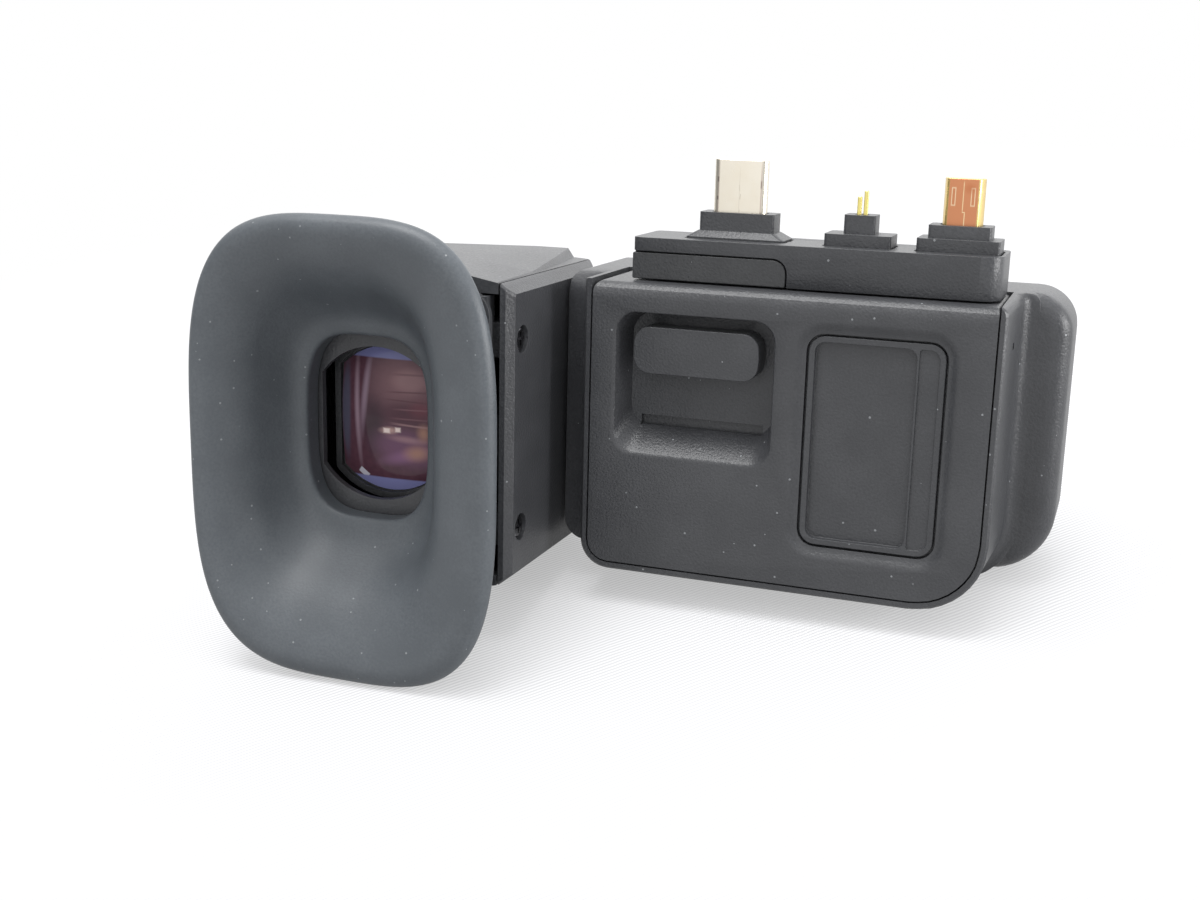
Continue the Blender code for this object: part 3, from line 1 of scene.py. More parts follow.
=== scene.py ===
import json
import math

import bmesh
import bpy
import numpy as np
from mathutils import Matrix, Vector

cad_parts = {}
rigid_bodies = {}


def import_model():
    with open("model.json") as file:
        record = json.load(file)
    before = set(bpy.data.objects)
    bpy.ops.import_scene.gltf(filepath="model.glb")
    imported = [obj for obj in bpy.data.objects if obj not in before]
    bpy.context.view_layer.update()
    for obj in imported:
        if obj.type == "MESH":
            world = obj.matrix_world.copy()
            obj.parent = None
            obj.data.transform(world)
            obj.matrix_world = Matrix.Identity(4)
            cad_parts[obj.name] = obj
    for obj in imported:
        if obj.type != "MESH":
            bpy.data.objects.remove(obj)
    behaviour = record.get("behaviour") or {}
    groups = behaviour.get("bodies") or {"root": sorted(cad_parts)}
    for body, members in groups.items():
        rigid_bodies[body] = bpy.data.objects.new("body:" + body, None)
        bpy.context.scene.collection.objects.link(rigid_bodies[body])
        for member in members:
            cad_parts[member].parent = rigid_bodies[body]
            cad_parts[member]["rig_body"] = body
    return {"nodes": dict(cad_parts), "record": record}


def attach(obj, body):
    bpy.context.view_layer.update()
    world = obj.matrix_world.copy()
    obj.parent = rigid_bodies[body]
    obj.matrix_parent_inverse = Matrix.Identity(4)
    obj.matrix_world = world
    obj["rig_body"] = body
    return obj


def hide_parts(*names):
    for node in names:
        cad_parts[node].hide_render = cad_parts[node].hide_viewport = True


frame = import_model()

# Lengths below are millimetres from the lower left corner of the flat cover face: X to the right,
# Y away from the eyecup, Z towards the camera. originPoint is the model's origin in those lengths.
mm = 0.001
originPoint = np.array([30.625, 9.9, 50.9])
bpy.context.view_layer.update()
nodes = frame["nodes"]
scene = bpy.context.scene


# Meshes

# Points of a skin that are nearer than this are one point
weldGap = 0.0005

# What counts as a chord of a round corner: lengths in millimetres, turns in radians
cornerArcs = {
    "level": 0.02, "shortest": 0.7, "longest": 4.0, "shortestNext": 0.5, "leastTurn": 0.1, "mostTurn": 0.5,
    "unevenness": 2.2, "mostCorners": 8,
}

# How the sharp edges of a solid are rolled over: lengths in millimetres, angles in degrees
edgeRoll = {"merge": 0.002, "flat": 1.0, "sharp": 32, "segments": 2, "sliver": 0.003}


def toModel(points):
    # Face millimetres to model metres: (p - origin) / 1000.
    return (np.asarray(points, float) - originPoint) * mm


def gridPiece(name, body, grid, closeAlong=False, capFirst=False, capLast=False, angle=35):
    # A skin over a grid of points, rows along the path and columns round it. Columns always close.
    rows, columns = grid.shape[:2]
    index = np.arange(rows * columns).reshape(rows, columns)
    lower = index if closeAlong else index[:-1]
    upper = np.roll(index, -1, 0) if closeAlong else index[1:]
    quads = np.stack([lower, np.roll(lower, -1, 1), np.roll(upper, -1, 1), upper], -1).reshape(-1, 4)
    faces = quads.tolist()
    if capFirst:
        faces.append(index[0][::-1].tolist())
    if capLast:
        faces.append(index[-1].tolist())
    mesh = bpy.data.meshes.new(name)
    mesh.from_pydata(toModel(grid.reshape(-1, 3)).tolist(), [], faces)
    work = bmesh.new()
    work.from_mesh(mesh)
    bmesh.ops.remove_doubles(work, verts=work.verts, dist=weldGap * mm)
    bmesh.ops.dissolve_degenerate(work, edges=work.edges, dist=weldGap * mm)
    bmesh.ops.recalc_face_normals(work, faces=work.faces)
    work.to_mesh(mesh)
    work.free()
    return addPiece(name, body, mesh, angle)


def addPiece(name, body, mesh, angle):
    mesh.shade_smooth()
    mesh.set_sharp_from_angle(angle=math.radians(angle))
    piece = bpy.data.objects.new(name, mesh)
    scene.collection.objects.link(piece)
    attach(piece, body)
    return piece


def dress(piece, material):
    piece.data.materials.clear()
    piece.data.materials.append(material)


def roundCorners(work):
    # Chords of round corners across Y are halved, and their middles go out to the arc:
    # rise = chord / 2 tan(turn / 4)
    c = cornerArcs
    chosen = []
    for edge in work.edges:
        first, last = edge.verts
        along = last.co - first.co
        if abs(along.y) > c["level"] * mm or not c["shortest"] * mm < along.length < c["longest"] * mm:
            continue
        turns, inward = [], Vector()
        for here, way in ((first, along), (last, -along)):
            found = None
            for other in here.link_edges:
                step = here.co - other.other_vert(here).co
                if other == edge or abs(step.y) > c["level"] * mm or step.length < c["shortestNext"] * mm:
                    continue
                turn = step.angle(way)
                if c["leastTurn"] < turn < c["mostTurn"] and (found is None or turn < found[0]):
                    found = (turn, way.normalized() - step.normalized())
            if found:
                turns.append(found[0])
                inward += found[1]
        if len(turns) == 2 and max(turns) < c["unevenness"] * min(turns):
            chosen.append((edge, first, along.length / 2 * math.tan(min(turns) / 4), inward.normalized()))
    middles = set()
    for edge, first, rise, inward in chosen:
        middle = bmesh.utils.edge_split(edge, first, 0.5)[1]
        middle.co -= inward * rise
        middles.add(middle)
    for face in list(work.faces):
        pair = [corner for corner in face.verts if corner in middles]
        if len(pair) == 2 and len(face.verts) <= c["mostCorners"]:
            bmesh.utils.face_split(face, pair[0], pair[1])


def softCopy(node, material, width):
    # A merged copy of a solid with its sharp edges rolled over, which stands for it.
    e = edgeRoll
    source = nodes[node]
    mesh = source.data.copy()
    mesh.name = node + "_softened"
    work = bmesh.new()
    work.from_mesh(mesh)
    bmesh.ops.remove_doubles(work, verts=work.verts, dist=e["merge"] * mm)
    bmesh.ops.dissolve_limit(work, angle_limit=math.radians(e["flat"]), verts=work.verts, edges=work.edges)
    roundCorners(work)
    work.to_mesh(mesh)
    work.free()
    piece = addPiece(mesh.name, source["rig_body"], mesh, e["sharp"])
    bevel = piece.modifiers.new("rolled edges", "BEVEL")
    bevel.width = width * mm
    bevel.segments = e["segments"]
    bevel.limit_method = "ANGLE"
    bevel.angle_limit = math.radians(e["sharp"])
    bevel.use_clamp_overlap = True
    bevel.harden_normals = True
    weld = piece.modifiers.new("closed slivers", "WELD")
    weld.merge_threshold = e["sliver"] * mm
    dress(piece, material)
    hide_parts(node)


def roundedOutline(width, height, radius, steps):
    # Rectangle with round corners about its centre, from quarter circles.
    turn = np.linspace(0, 0.5 * math.pi, steps)
    points = []
    for sideX, sideY, start in ((1, 1, 0), (-1, 1, 0.5), (-1, -1, 1), (1, -1, 1.5)):
        angle = turn + start * math.pi
        points.append(np.stack([sideX * (width / 2 - radius) + radius * np.cos(angle),
                                sideY * (height / 2 - radius) + radius * np.sin(angle)], -1))
    return np.concatenate(points)


# Sizes of the plugs

plugs = {
    "line": 9.9, "dataX": 20.0, "videoX": 53.15, "contactX": 38.6, "floor": 50.4,
    "dataSize": (8.25, 2.4), "dataTop": 62.8, "dataRound": 0.45,
    "videoSize": (5.83, 2.2), "videoTop": 61.4, "videoNarrow": 0.65, "videoCorner": 0.34, "videoInner": 0.8,
    "wall": 0.3, "seatDepth": 0.5, "foot": 0.12, "seatRing": 0.05,
    "pinBase": 51.2, "pinSide": 0.62, "pinPitch": 0.95, "longPin": 7.9, "shortPin": 7.0, "pinFoot": 0.06,
    "pinRound": 0.2, "pinTip": 0.04,
}


# Materials

# Lengths in millimetres; the widths of the specks are shares of their cell
mouldedSkin = {"cloud": 7, "dustCell": 1.6, "speckWidths": (0.045, 0.11), "dust": "#8e9194", "roughSpread": 0.05}
brushedPlate = {"lineGap": 0.15, "lineLength": 4, "stain": 2.5, "relief": 0.004, "frontFrom": -0.95}


def linear(code):
    # sRGB hex to linear colour.
    value = np.array([int(code[i:i + 2], 16) / 255 for i in (1, 3, 5)])
    value = np.where(value <= 0.04045, value / 12.92, ((value + 0.055) / 1.055) ** 2.4)
    return (*value.tolist(), 1.0)


def addNode(tree, kind, inputs=None, **settings):
    # One node with its settings, and its inputs as values or links.
    node = tree.nodes.new(kind)
    for name, value in settings.items():
        setattr(node, name, value)
    for name, value in (inputs or {}).items():
        if isinstance(value, bpy.types.NodeSocket):
            tree.links.new(value, node.inputs[name])
        else:
            node.inputs[name].default_value = value
    return node


def newMaterial(name):
    material = bpy.data.materials.new(name)
    material.use_nodes = True
    tree = material.node_tree
    return material, tree, tree.nodes["Principled BSDF"], addNode(tree, "ShaderNodeTexCoord").outputs["Object"]


def blend(tree, factor, first, second):
    mix = addNode(tree, "ShaderNodeMix", {0: factor, 6: first, 7: second}, data_type="RGBA")
    return mix.outputs[2]


def addPatches(tree, local, colour, patches, where=None):
    # Soft ovals and squares of colour. Each is: middle, half size, turn in degrees, colour, strength, edge,
    # and whether it is square
    for middle, half, turn, code, strength, edge, square in patches:
        a = math.radians(turn)
        # Turned and scaled so that the patch is the unit circle or square
        moved = addNode(tree, "ShaderNodeVectorMath", {0: local, 1: (middle[0], 0, middle[1])},
                        operation="SUBTRACT")
        along, over = (
            addNode(tree, "ShaderNodeVectorMath", {0: moved.outputs[0], 1: axis}, operation="DOT_PRODUCT")
            for axis in ((math.cos(a) / half[0], 0, math.sin(a) / half[0]),
                         (-math.sin(a) / half[1], 0, math.cos(a) / half[1])))
        flat = addNode(tree, "ShaderNodeCombineXYZ", {0: along.outputs["Value"], 1: over.outputs["Value"]})
        if square:
            size = addNode(tree, "ShaderNodeVectorMath", {0: flat.outputs[0]}, operation="ABSOLUTE")
            split = addNode(tree, "ShaderNodeSeparateXYZ", {0: size.outputs[0]})
            far = addNode(tree, "ShaderNodeMath", {0: split.outputs[0], 1: split.outputs[1]},
                          operation="MAXIMUM").outputs[0]
        else:
            far = addNode(tree, "ShaderNodeVectorMath", {0: flat.outputs[0]}, operation="LENGTH").outputs["Value"]
        share = addNode(tree, "ShaderNodeMapRange", {"Value": far, "From Min": 1 + edge * 0.5, "From Max": 1 - edge,
                                                     "To Min": 0.0, "To Max": strength},
                        interpolation_type="SMOOTHSTEP").outputs[0]
        if where:
            share = addNode(tree, "ShaderNodeMath", {0: share, 1: where}, operation="MULTIPLY").outputs[0]
        colour = blend(tree, share, colour, linear(code))
    return colour


def grainy(name, dark, light, roughness, grain, relief, dust=0.0):
    # Moulded skin: cloudy tone between two colours, fine grain in roughness and bump, and a little dust.
    # Grain and relief are millimetres; a noise of scale 1 / length has blots of about that length.
    e = mouldedSkin
    material, tree, shader, place = newMaterial(name)
    cloud = addNode(tree, "ShaderNodeTexNoise", {"Vector": place, "Scale": 1 / (e["cloud"] * mm), "Detail": 3.0})
    fine = addNode(tree, "ShaderNodeTexNoise", {"Vector": place, "Scale": 1 / (grain * mm), "Detail": 2.0})
    share = addNode(tree, "ShaderNodeMath", {0: cloud.outputs["Fac"], 1: fine.outputs["Fac"]}, operation="MULTIPLY")
    share = addNode(tree, "ShaderNodeMapRange", {"Value": share.outputs[0], "From Min": 0.15, "From Max": 0.38})
    colour = blend(tree, share.outputs[0], linear(dark), linear(light))
    if dust:
        # Specks of dust 0.15 to 0.35 mm wide, one in every few cells of 1.6 mm
        cells = addNode(tree, "ShaderNodeTexVoronoi", {"Vector": place, "Scale": 1 / (e["dustCell"] * mm)})
        chosen = addNode(tree, "ShaderNodeSeparateColor", {0: cells.outputs["Color"]})
        least, most = e["speckWidths"]
        width = addNode(tree, "ShaderNodeMapRange", {"Value": chosen.outputs[1], "To Min": least, "To Max": most})
        near = addNode(tree, "ShaderNodeMath", {0: cells.outputs["Distance"], 1: width.outputs[0]},
                       operation="LESS_THAN")
        kept = addNode(tree, "ShaderNodeMath", {0: chosen.outputs[0], 1: 1 - dust}, operation="GREATER_THAN")
        speck = addNode(tree, "ShaderNodeMath", {0: near.outputs[0], 1: kept.outputs[0]}, operation="MULTIPLY")
        colour = blend(tree, speck.outputs[0], colour, linear(e["dust"]))
    tree.links.new(colour, shader.inputs["Base Color"])
    rough = addNode(tree, "ShaderNodeMapRange", {"Value": fine.outputs["Fac"], "From Min": 0.3, "From Max": 0.7,
                                                 "To Min": roughness - e["roughSpread"],
                                                 "To Max": roughness + e["roughSpread"]})
    tree.links.new(rough.outputs[0], shader.inputs["Roughness"])
    bump = addNode(tree, "ShaderNodeBump", {"Height": fine.outputs["Fac"], "Distance": relief * mm,
                                            "Strength": 1.0})
    tree.links.new(bump.outputs[0], shader.inputs["Normal"])
    shader.inputs["IOR"].default_value = 1.5
    return material


# Marks on the fronts of the two plugs, in millimetres from the foot of the plug's middle: the patches of
# addPatches.
# On the data plug, seam lines and small dark marks. On the video plug, painted shade: its whole front a darker
# copper tone, also inside the latch outlines; painted highlights: pale outlines round the latches and along the
# middle seam; and a lighter and a darker soft patch.
seamsAndPaintedLight = {
    "data": (
        ((0.0, 8.2), (0.07, 0.5), 4, "#cfc6b4", 0.7, 0.4, True),
        ((0.15, 6.9), (0.07, 0.45), -6, "#cfc6b4", 0.7, 0.4, True),
        ((0.1, 4.6), (0.06, 0.4), 0, "#d6cdbc", 0.6, 0.4, True),
        ((0.05, 3.2), (0.07, 0.5), 5, "#cfc6b4", 0.6, 0.4, True),
        ((0.0, 6.4), (0.05, 4.6), 0, "#ddd5c6", 0.7, 0.4, True),
        ((-3.3, 6.3), (0.12, 5.6), 0, "#c9b9ae", 0.8, 0.5, True),
        ((3.35, 6.3), (0.10, 5.6), 0, "#c9b9ae", 0.8, 0.5, True),
        ((-3.35, 9.4), (0.14, 0.4), 0, "#8e7f78", 0.8, 0.5, True),
        ((-3.35, 6.6), (0.14, 0.3), 0, "#8e7f78", 0.8, 0.5, True),
        ((3.35, 8.8), (0.12, 0.6), 0, "#9a8a80", 0.8, 0.5, True),
        ((3.35, 4.2), (0.12, 0.5), 0, "#9a8a80", 0.8, 0.5, True),
    ),
    "video": (
        # Painted shade: the whole front in a darker copper tone
        ((0.0, 5.5), (2.1, 9.0), 0, "#d2906a", 1.0, 0.05, True),
        # Painted highlights on the edges of the latches, with the painted shade again inside them
        ((-1.38, 8.4), (0.32, 1.35), 0, "#f2d9b4", 0.9, 0.12, True),
        ((-1.38, 8.4), (0.19, 1.2), 0, "#cf8d68", 1.0, 0.12, True),
        ((1.38, 8.4), (0.32, 1.35), 0, "#f2d9b4", 0.9, 0.12, True),
        ((1.38, 8.4), (0.19, 1.2), 0, "#cf8d68", 1.0, 0.12, True),
        # Painted highlights along the middle seam
        ((0.0, 2.6), (0.07, 1.6), 0, "#f6deb0", 0.9, 0.25, True),
        ((0.16, 4.2), (0.2, 0.07), 0, "#f6deb0", 0.9, 0.25, True),
        ((0.32, 5.2), (0.07, 1.0), 0, "#f6deb0", 0.9, 0.25, True),
        ((0.16, 6.2), (0.2, 0.07), 0, "#f6deb0", 0.9, 0.25, True),
        ((0.0, 8.4), (0.07, 2.2), 0, "#f6deb0", 0.8, 0.25, True),
        # A lighter and a darker soft patch
        ((-0.8, 2.4), (1.0, 1.3), 10, "#e2b184", 0.5, 0.9, False),
        ((0.9, 9.6), (0.9, 0.8), 0, "#bf7650", 0.5, 0.9, False),
    ),
}


def platedMetal(name, base, deep, roughness, scratch, plug=None, marks=()):
    # Plated sheet: brushed along the plug, slightly stained, metal with the default IOR
    e = brushedPlate
    material, tree, shader, place = newMaterial(name)
    # Drawn brush lines every 0.15 mm across the plug and 4 mm long
    across = 1 / (e["lineGap"] * mm)
    stretched = addNode(tree, "ShaderNodeMapping", {"Vector": place,
                                                    "Scale": (across, across, 1 / (e["lineLength"] * mm))})
    brush = addNode(tree, "ShaderNodeTexNoise", {"Vector": stretched.outputs[0], "Scale": 1.0, "Detail": 2.0})
    stain = addNode(tree, "ShaderNodeTexNoise", {"Vector": place, "Scale": 1 / (e["stain"] * mm), "Detail": 2.0})
    colour = blend(tree, stain.outputs["Fac"], linear(base), linear(deep))
    if plug:
        foot = toModel((plugs[plug], plugs["line"], plugs["floor"]))
        # Millimetres from the foot of the plug's middle, and the front half only
        local = addNode(tree, "ShaderNodeMapping", {"Vector": place, "Location": tuple(-foot / mm),
                                                    "Scale": (1 / mm,) * 3})
        depth = addNode(tree, "ShaderNodeSeparateXYZ", {0: local.outputs[0]})
        front = addNode(tree, "ShaderNodeMath", {0: depth.outputs[1], 1: e["frontFrom"]}, operation="LESS_THAN")
        colour = addPatches(tree, local.outputs[0], colour, marks, front.outputs[0])
    tree.links.new(colour, shader.inputs["Base Color"])
    shader.inputs["Metallic"].default_value = 1.0
    rough = addNode(tree, "ShaderNodeMapRange", {"Value": brush.outputs["Fac"], "To Min": roughness - scratch,
                                                 "To Max": roughness + scratch})
    tree.links.new(rough.outputs[0], shader.inputs["Roughness"])
    bump = addNode(tree, "ShaderNodeBump", {"Height": brush.outputs["Fac"], "Distance": e["relief"] * mm,
                                            "Strength": 0.6})
    tree.links.new(bump.outputs[0], shader.inputs["Normal"])
    return material


print("stage: materials")
# ABS from a spark-eroded mould: matt charcoal with a fine grain, drawn 0.38 mm wide so that it shows
charcoalAbs = grainy("charcoalAbs", "#414245", "#4a4b4e", 0.35, 0.38, 0.07, dust=0.24)
# The same plastic in the smaller inserts, a little darker
blackAbs = grainy("blackAbs", "#3a3b3d", "#434446", 0.35, 0.38, 0.07, dust=0.24)
# Moulded silicone rubber: blue-grey, smooth to the eye, dull, and it holds dust
siliconeRubber = grainy("siliconeRubber", "#585d62", "#61666b", 0.42, 0.38, 0.035, dust=0.5)
# Nickel plate, satin and warm
nickelPlate = platedMetal("nickelPlate", "#f7f1e4", "#efe6d4", 0.3, 0.06, "dataX", seamsAndPaintedLight["data"])
# Gold flash over copper
goldPlate = platedMetal("goldPlate", "#f8ec9c", "#f0dc80", 0.26, 0.08)
# Gold flash on the video plug; the darker copper tone on its broad front is painted shade, and the pale lines round
# its latches and on its middle seam are painted highlights
goldWithPaintedLight = platedMetal("goldWithPaintedLight", "#f4dc9c", "#ecce84", 0.34, 0.08, "videoX", seamsAndPaintedLight["video"])
# Blackened hinge steel
blackOxide = platedMetal("blackOxide", "#58585c", "#3c3c40", 0.36, 0.1)
# Screw heads: pale steel, a painted highlight that stands in for the glints on their dark heads
steelWithPaintedSheen = platedMetal("steelWithPaintedSheen", "#a4a4a8", "#6c6c70", 0.24, 0.08)
# Drawn spring steel and rods
brightSteel = platedMetal("brightSteel", "#c4c4c6", "#aaaaad", 0.28, 0.08)
# Liquid crystal polymer of the contact inserts, and of the chips
blackMoulding = grainy("blackMoulding", "#1d1d1f", "#262628", 0.42, 0.2, 0.004)
# Fibreglass board under green solder resist
solderResist = grainy("solderResist", "#174a2a", "#1f5a34", 0.35, 0.5, 0.004)
# Polished display glass, dark when off
displayBlack = grainy("displayBlack", "#08080a", "#0d0d10", 0.08, 1.0, 0.0)


def coatedGlass(name):
    # Inner lens glass: clear, with the faint mauve of its coating in clouds of 6 mm.
    material, tree, shader, place = newMaterial(name)
    haze = addNode(tree, "ShaderNodeTexNoise", {"Vector": place, "Scale": 1 / (6 * mm), "Detail": 1.0})
    colour = blend(tree, haze.outputs["Fac"], linear("#8c7080"), linear("#9a7c8a"))
    tree.links.new(colour, shader.inputs["Base Color"])
    shader.inputs["Roughness"].default_value = 0.04
    shader.inputs["IOR"].default_value = 1.52
    shader.inputs["Transmission Weight"].default_value = 0.6
    return material


clearGlass = coatedGlass("clearGlass")


# Eyecup

print("stage: eyecup")
eyecup = {
    "holeCentre": (-29.7, 21.707), "holeHalf": (10.2, 14.2),
    "lipCentre": (-27.7, 20.257), "lipHalf": (24.8, 34.5),
    "back": -16.3, "front": -31.0, "sleeve": 1.4, "sleeveDepth": 2.0,
    "squareness": 3.4, "rings": 112, "around": 224,
    # depth and spread shares from the hole over the lip and down the outside: all round, and at the base's side
    "profile": (
        (-0.13, 0.0), (0.0, 0.0), (0.05, 0.0), (0.075, 0.015), (0.10, 0.06), (0.13, 0.12),
        (0.19, 0.185), (0.30, 0.265), (0.44, 0.35), (0.58, 0.43), (0.70, 0.51), (0.80, 0.59),
        (0.88, 0.67), (0.94, 0.745), (0.98, 0.82), (0.998, 0.875), (0.992, 0.925), (0.97, 0.96),
        (0.93, 0.986), (0.885, 1.0), (0.84, 0.993), (0.80, 0.94), (0.70, 0.73), (0.63, 0.62),
        (0.50, 0.555), (0.30, 0.50), (0.10, 0.47), (0.0, 0.45),
    ),
    "innerSide": (
        (-0.13, 0.0), (0.0, 0.0), (0.05, 0.0), (0.075, 0.015), (0.10, 0.06), (0.14, 0.12),
        (0.22, 0.18), (0.38, 0.24), (0.56, 0.29), (0.71, 0.35), (0.80, 0.43), (0.86, 0.53),
        (0.91, 0.64), (0.95, 0.745), (0.98, 0.82), (0.998, 0.875), (0.992, 0.925), (0.97, 0.96),
        (0.93, 0.986), (0.885, 1.0), (0.84, 0.993), (0.80, 0.94), (0.70, 0.73), (0.63, 0.62),
        (0.50, 0.555), (0.30, 0.50), (0.10, 0.47), (0.0, 0.45),
    ),
}


def smoothPath(points, count):
    # Catmull-Rom curve through the points, sampled evenly by its chords.
    p = np.array(points, float)
    p = np.vstack([2 * p[0] - p[1], p, 2 * p[-1] - p[-2]])
    steps = 24
    t = np.linspace(0, 1, steps, endpoint=False)[:, None, None]
    a, b, c, d = p[:-3], p[1:-2], p[2:-1], p[3:]
    curve = 0.5 * (2 * b + (c - a) * t + (2 * a - 5 * b + 4 * c - d) * t ** 2 + (3 * b - a - 3 * c + d) * t ** 3)
    curve = np.vstack([curve.transpose(1, 0, 2).reshape(-1, p.shape[1]), p[-2]])
    run = np.concatenate([[0], np.cumsum(np.linalg.norm(np.diff(curve, axis=0), axis=1))])
    at = np.linspace(0, run[-1], count)
    return np.stack([np.interp(at, run, curve[:, k]) for k in range(p.shape[1])], -1)


def squaredOval(angle, power):
    # Unit superellipse: sign(cos a) |cos a|^(2/n), and the same with sin.
    across = np.sign(np.cos(angle)) * np.abs(np.cos(angle)) ** (2 / power)
    up = np.sign(np.sin(angle)) * np.abs(np.sin(angle)) ** (2 / power)
    return across, up


def evenOval(count, halfX, halfZ, power):
    # Angles that space points evenly round the superellipse.
    angle = np.linspace(0, 2 * math.pi, 4096)
    across, up = squaredOval(angle, power)
    run = np.concatenate([[0], np.cumsum(np.hypot(np.diff(halfX * across), np.diff(halfZ * up)))])
    return np.interp(np.linspace(0, run[-1], count, endpoint=False), run, angle)


def buildEyecup():
    # The funnel: centre and half sizes go from hole to lip by the spread share, depth by the depth share.
    e = eyecup
    angle = evenOval(e["around"], *e["lipHalf"], e["squareness"])
    across, up = squaredOval(angle[None, :], e["squareness"])
    # Share of the inner side's profile: the square of the cosine, on that side only
    inner = np.clip(across, 0, 1) ** 2
    path, innerPath = smoothPath(e["profile"], e["rings"]), smoothPath(e["innerSide"], e["rings"])
    depth, spread = (path[:, k:k + 1] + inner * (innerPath - path)[:, k:k + 1] for k in (0, 1))
    hole, lip = np.array(e["holeCentre"] + e["holeHalf"]), np.array(e["lipCentre"] + e["lipHalf"])
    size = hole + spread[..., None] * (lip - hole)
    x = size[..., 0] + size[..., 2] * across
    z = size[..., 1] + size[..., 3] * up
    y = np.broadcast_to(e["back"] + depth * (e["front"] - e["back"]), x.shape)
    rows = [np.stack([x, y, z], -1)]
    # Sleeve behind the hole, which plugs into the frame
    wide = np.array(e["holeHalf"]) + e["sleeve"]
    end = e["back"] + e["sleeveDepth"]
    for half, at in ((wide, e["back"]), (wide, end), (e["holeHalf"], end)):
        ring = np.stack([e["holeCentre"][0] + half[0] * across[0], np.full(across.shape[1], at),
                         e["holeCentre"][1] + half[1] * up[0]], -1)
        rows.append(ring[None])
    piece = gridPiece("eyecup_rubber", "head", np.concatenate(rows), closeAlong=True, angle=50)
    dress(piece, siliconeRubber)
    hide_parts("eyecup")


buildEyecup()


# Eye lens

print("stage: lens")
eyeLens = {
    "centre": (-29.7, -5.8, 21.707), "radius": 11.5, "flat": 8.15, "thickness": 5.2, "sag": 1.5,
    "rings": 20, "around": 96,
    # painted reflections, painted glints and painted shade, as soft patches: middle, half size, turn in degrees,
    # colour, strength, edge, square or round
    "patches": (
        ((2.6, 6.0), (5.6, 4.6), 0, "#8c686e", 0.75, 0.8, False),
        ((3.8, 6.3), (3.2, 1.9), 0, "#a17f82", 0.6, 0.6, False),
        ((3.2, 1.3), (4.6, 2.0), 0, "#54323f", 0.85, 0.8, False),
        ((-2.4, -1.2), (2.2, 4.6), 0, "#3a2832", 0.8, 0.8, False),
        ((3.3, -4.4), (6.0, 3.2), -8, "#7b5573", 0.8, 0.7, False),
        ((3.2, -5.6), (4.6, 1.1), 16, "#9a6f96", 0.6, 0.9, False),
        ((5.0, -5.0), (2.2, 1.3), 8, "#b98c74", 0.8, 0.95, False),
        ((3.6, -2.9), (3.4, 0.6), -4, "#b08a90", 0.65, 0.9, False),
        ((6.2, -1.7), (1.1, 1.4), 0, "#bf9078", 0.65, 0.95, False),
        ((5.8, 2.0), (2.0, 1.6), 0, "#7d3f4c", 0.5, 0.9, False),
        ((3.8, 4.6), (3.6, 0.16), 2, "#5c3a44", 0.65, 0.7, True),
        ((3.6, 3.2), (3.8, 0.14), -2, "#5c3a44", 0.65, 0.7, True),
        ((4.4, 1.9), (3.0, 0.14), 1, "#8a626a", 0.6, 0.7, True),
        ((4.2, 0.4), (3.2, 0.14), 0, "#8a626a", 0.5, 0.7, True),
        ((4.2, -0.6), (3.2, 0.18), -3, "#b28c8e", 0.6, 0.7, True),
        ((4.0, 7.3), (3.2, 0.18), 1, "#6a4850", 0.55, 0.7, True),
        ((0.5, -1.6), (1.7, 0.6), 4, "#d2aca4", 0.8, 0.9, False),
        ((0.02, -1.65), (0.62, 0.42), 0, "#f6e2dc", 1.0, 0.5, True),
        ((1.95, -1.40), (0.5, 0.4), 0, "#f6e2dc", 0.95, 0.5, True),
        ((-5.3, 1.5), (0.5, 9.0), 2, "#ab93a2", 0.75, 0.9, False),
        ((-3.9, 4.0), (0.6, 7.0), -5, "#a18a9c", 0.75, 0.9, False),
        ((-7.4, 1.0), (0.9, 8.0), 0, "#56596c", 0.8, 0.5, False),
        ((-4.6, -9.1), (0.95, 0.5), -38, "#cfccd8", 1.0, 0.15, True),
    ),
    # Under the patches, painted reflection: ripples from deep to ground inside the mask, and violet painted
    # reflection beyond its edges
    "deep": "#4e3440", "ground": "#664450", "maskEdge": 9.55, "maskBlur": 0.12, "beyond": "#8688ba",
}


def paintedLensReflections():
    # Optical glass with an interference coating, and its reflections painted into its colour: mauve painted
    # reflection inside a mask, violet painted reflection beyond its edges, with painted glints and painted shade.
    e = eyeLens
    material, tree, shader, place = newMaterial("crownWithPaintedReflections")
    centre = toModel((e["centre"][0], 0, e["centre"][2]))
    # Millimetres from the lens's middle
    local = addNode(tree, "ShaderNodeMapping", {"Vector": place, "Location": (-centre[0] / mm, 0, -centre[2] / mm),
                                                "Scale": (1 / mm, 0, 1 / mm)})
    # Ripples in the painted reflection, about 1.1 mm wide, so the scale is 0.9 in those millimetres
    ripple = addNode(tree, "ShaderNodeTexNoise", {"Vector": local.outputs[0], "Scale": 0.9, "Detail": 3.0})
    colour = blend(tree, ripple.outputs["Fac"], linear(e["deep"]), linear(e["ground"]))
    colour = addPatches(tree, local.outputs[0], colour, e["patches"])
    height = addNode(tree, "ShaderNodeSeparateXYZ", {0: local.outputs[0]})
    off = addNode(tree, "ShaderNodeMath", {0: height.outputs[2]}, operation="ABSOLUTE")
    edge, blur = e["maskEdge"], e["maskBlur"]
    beyond = addNode(tree, "ShaderNodeMapRange", {"Value": off.outputs[0], "From Min": edge - blur,
                                                  "From Max": edge + blur})
    colour = blend(tree, beyond.outputs[0], colour, linear(e["beyond"]))
    tree.links.new(colour, shader.inputs["Base Color"])
    shader.inputs["Roughness"].default_value = 0.06
    # The coating takes away part of the glass's own shine, so its low IOR stands here
    shader.inputs["IOR"].default_value = 1.35
    return material


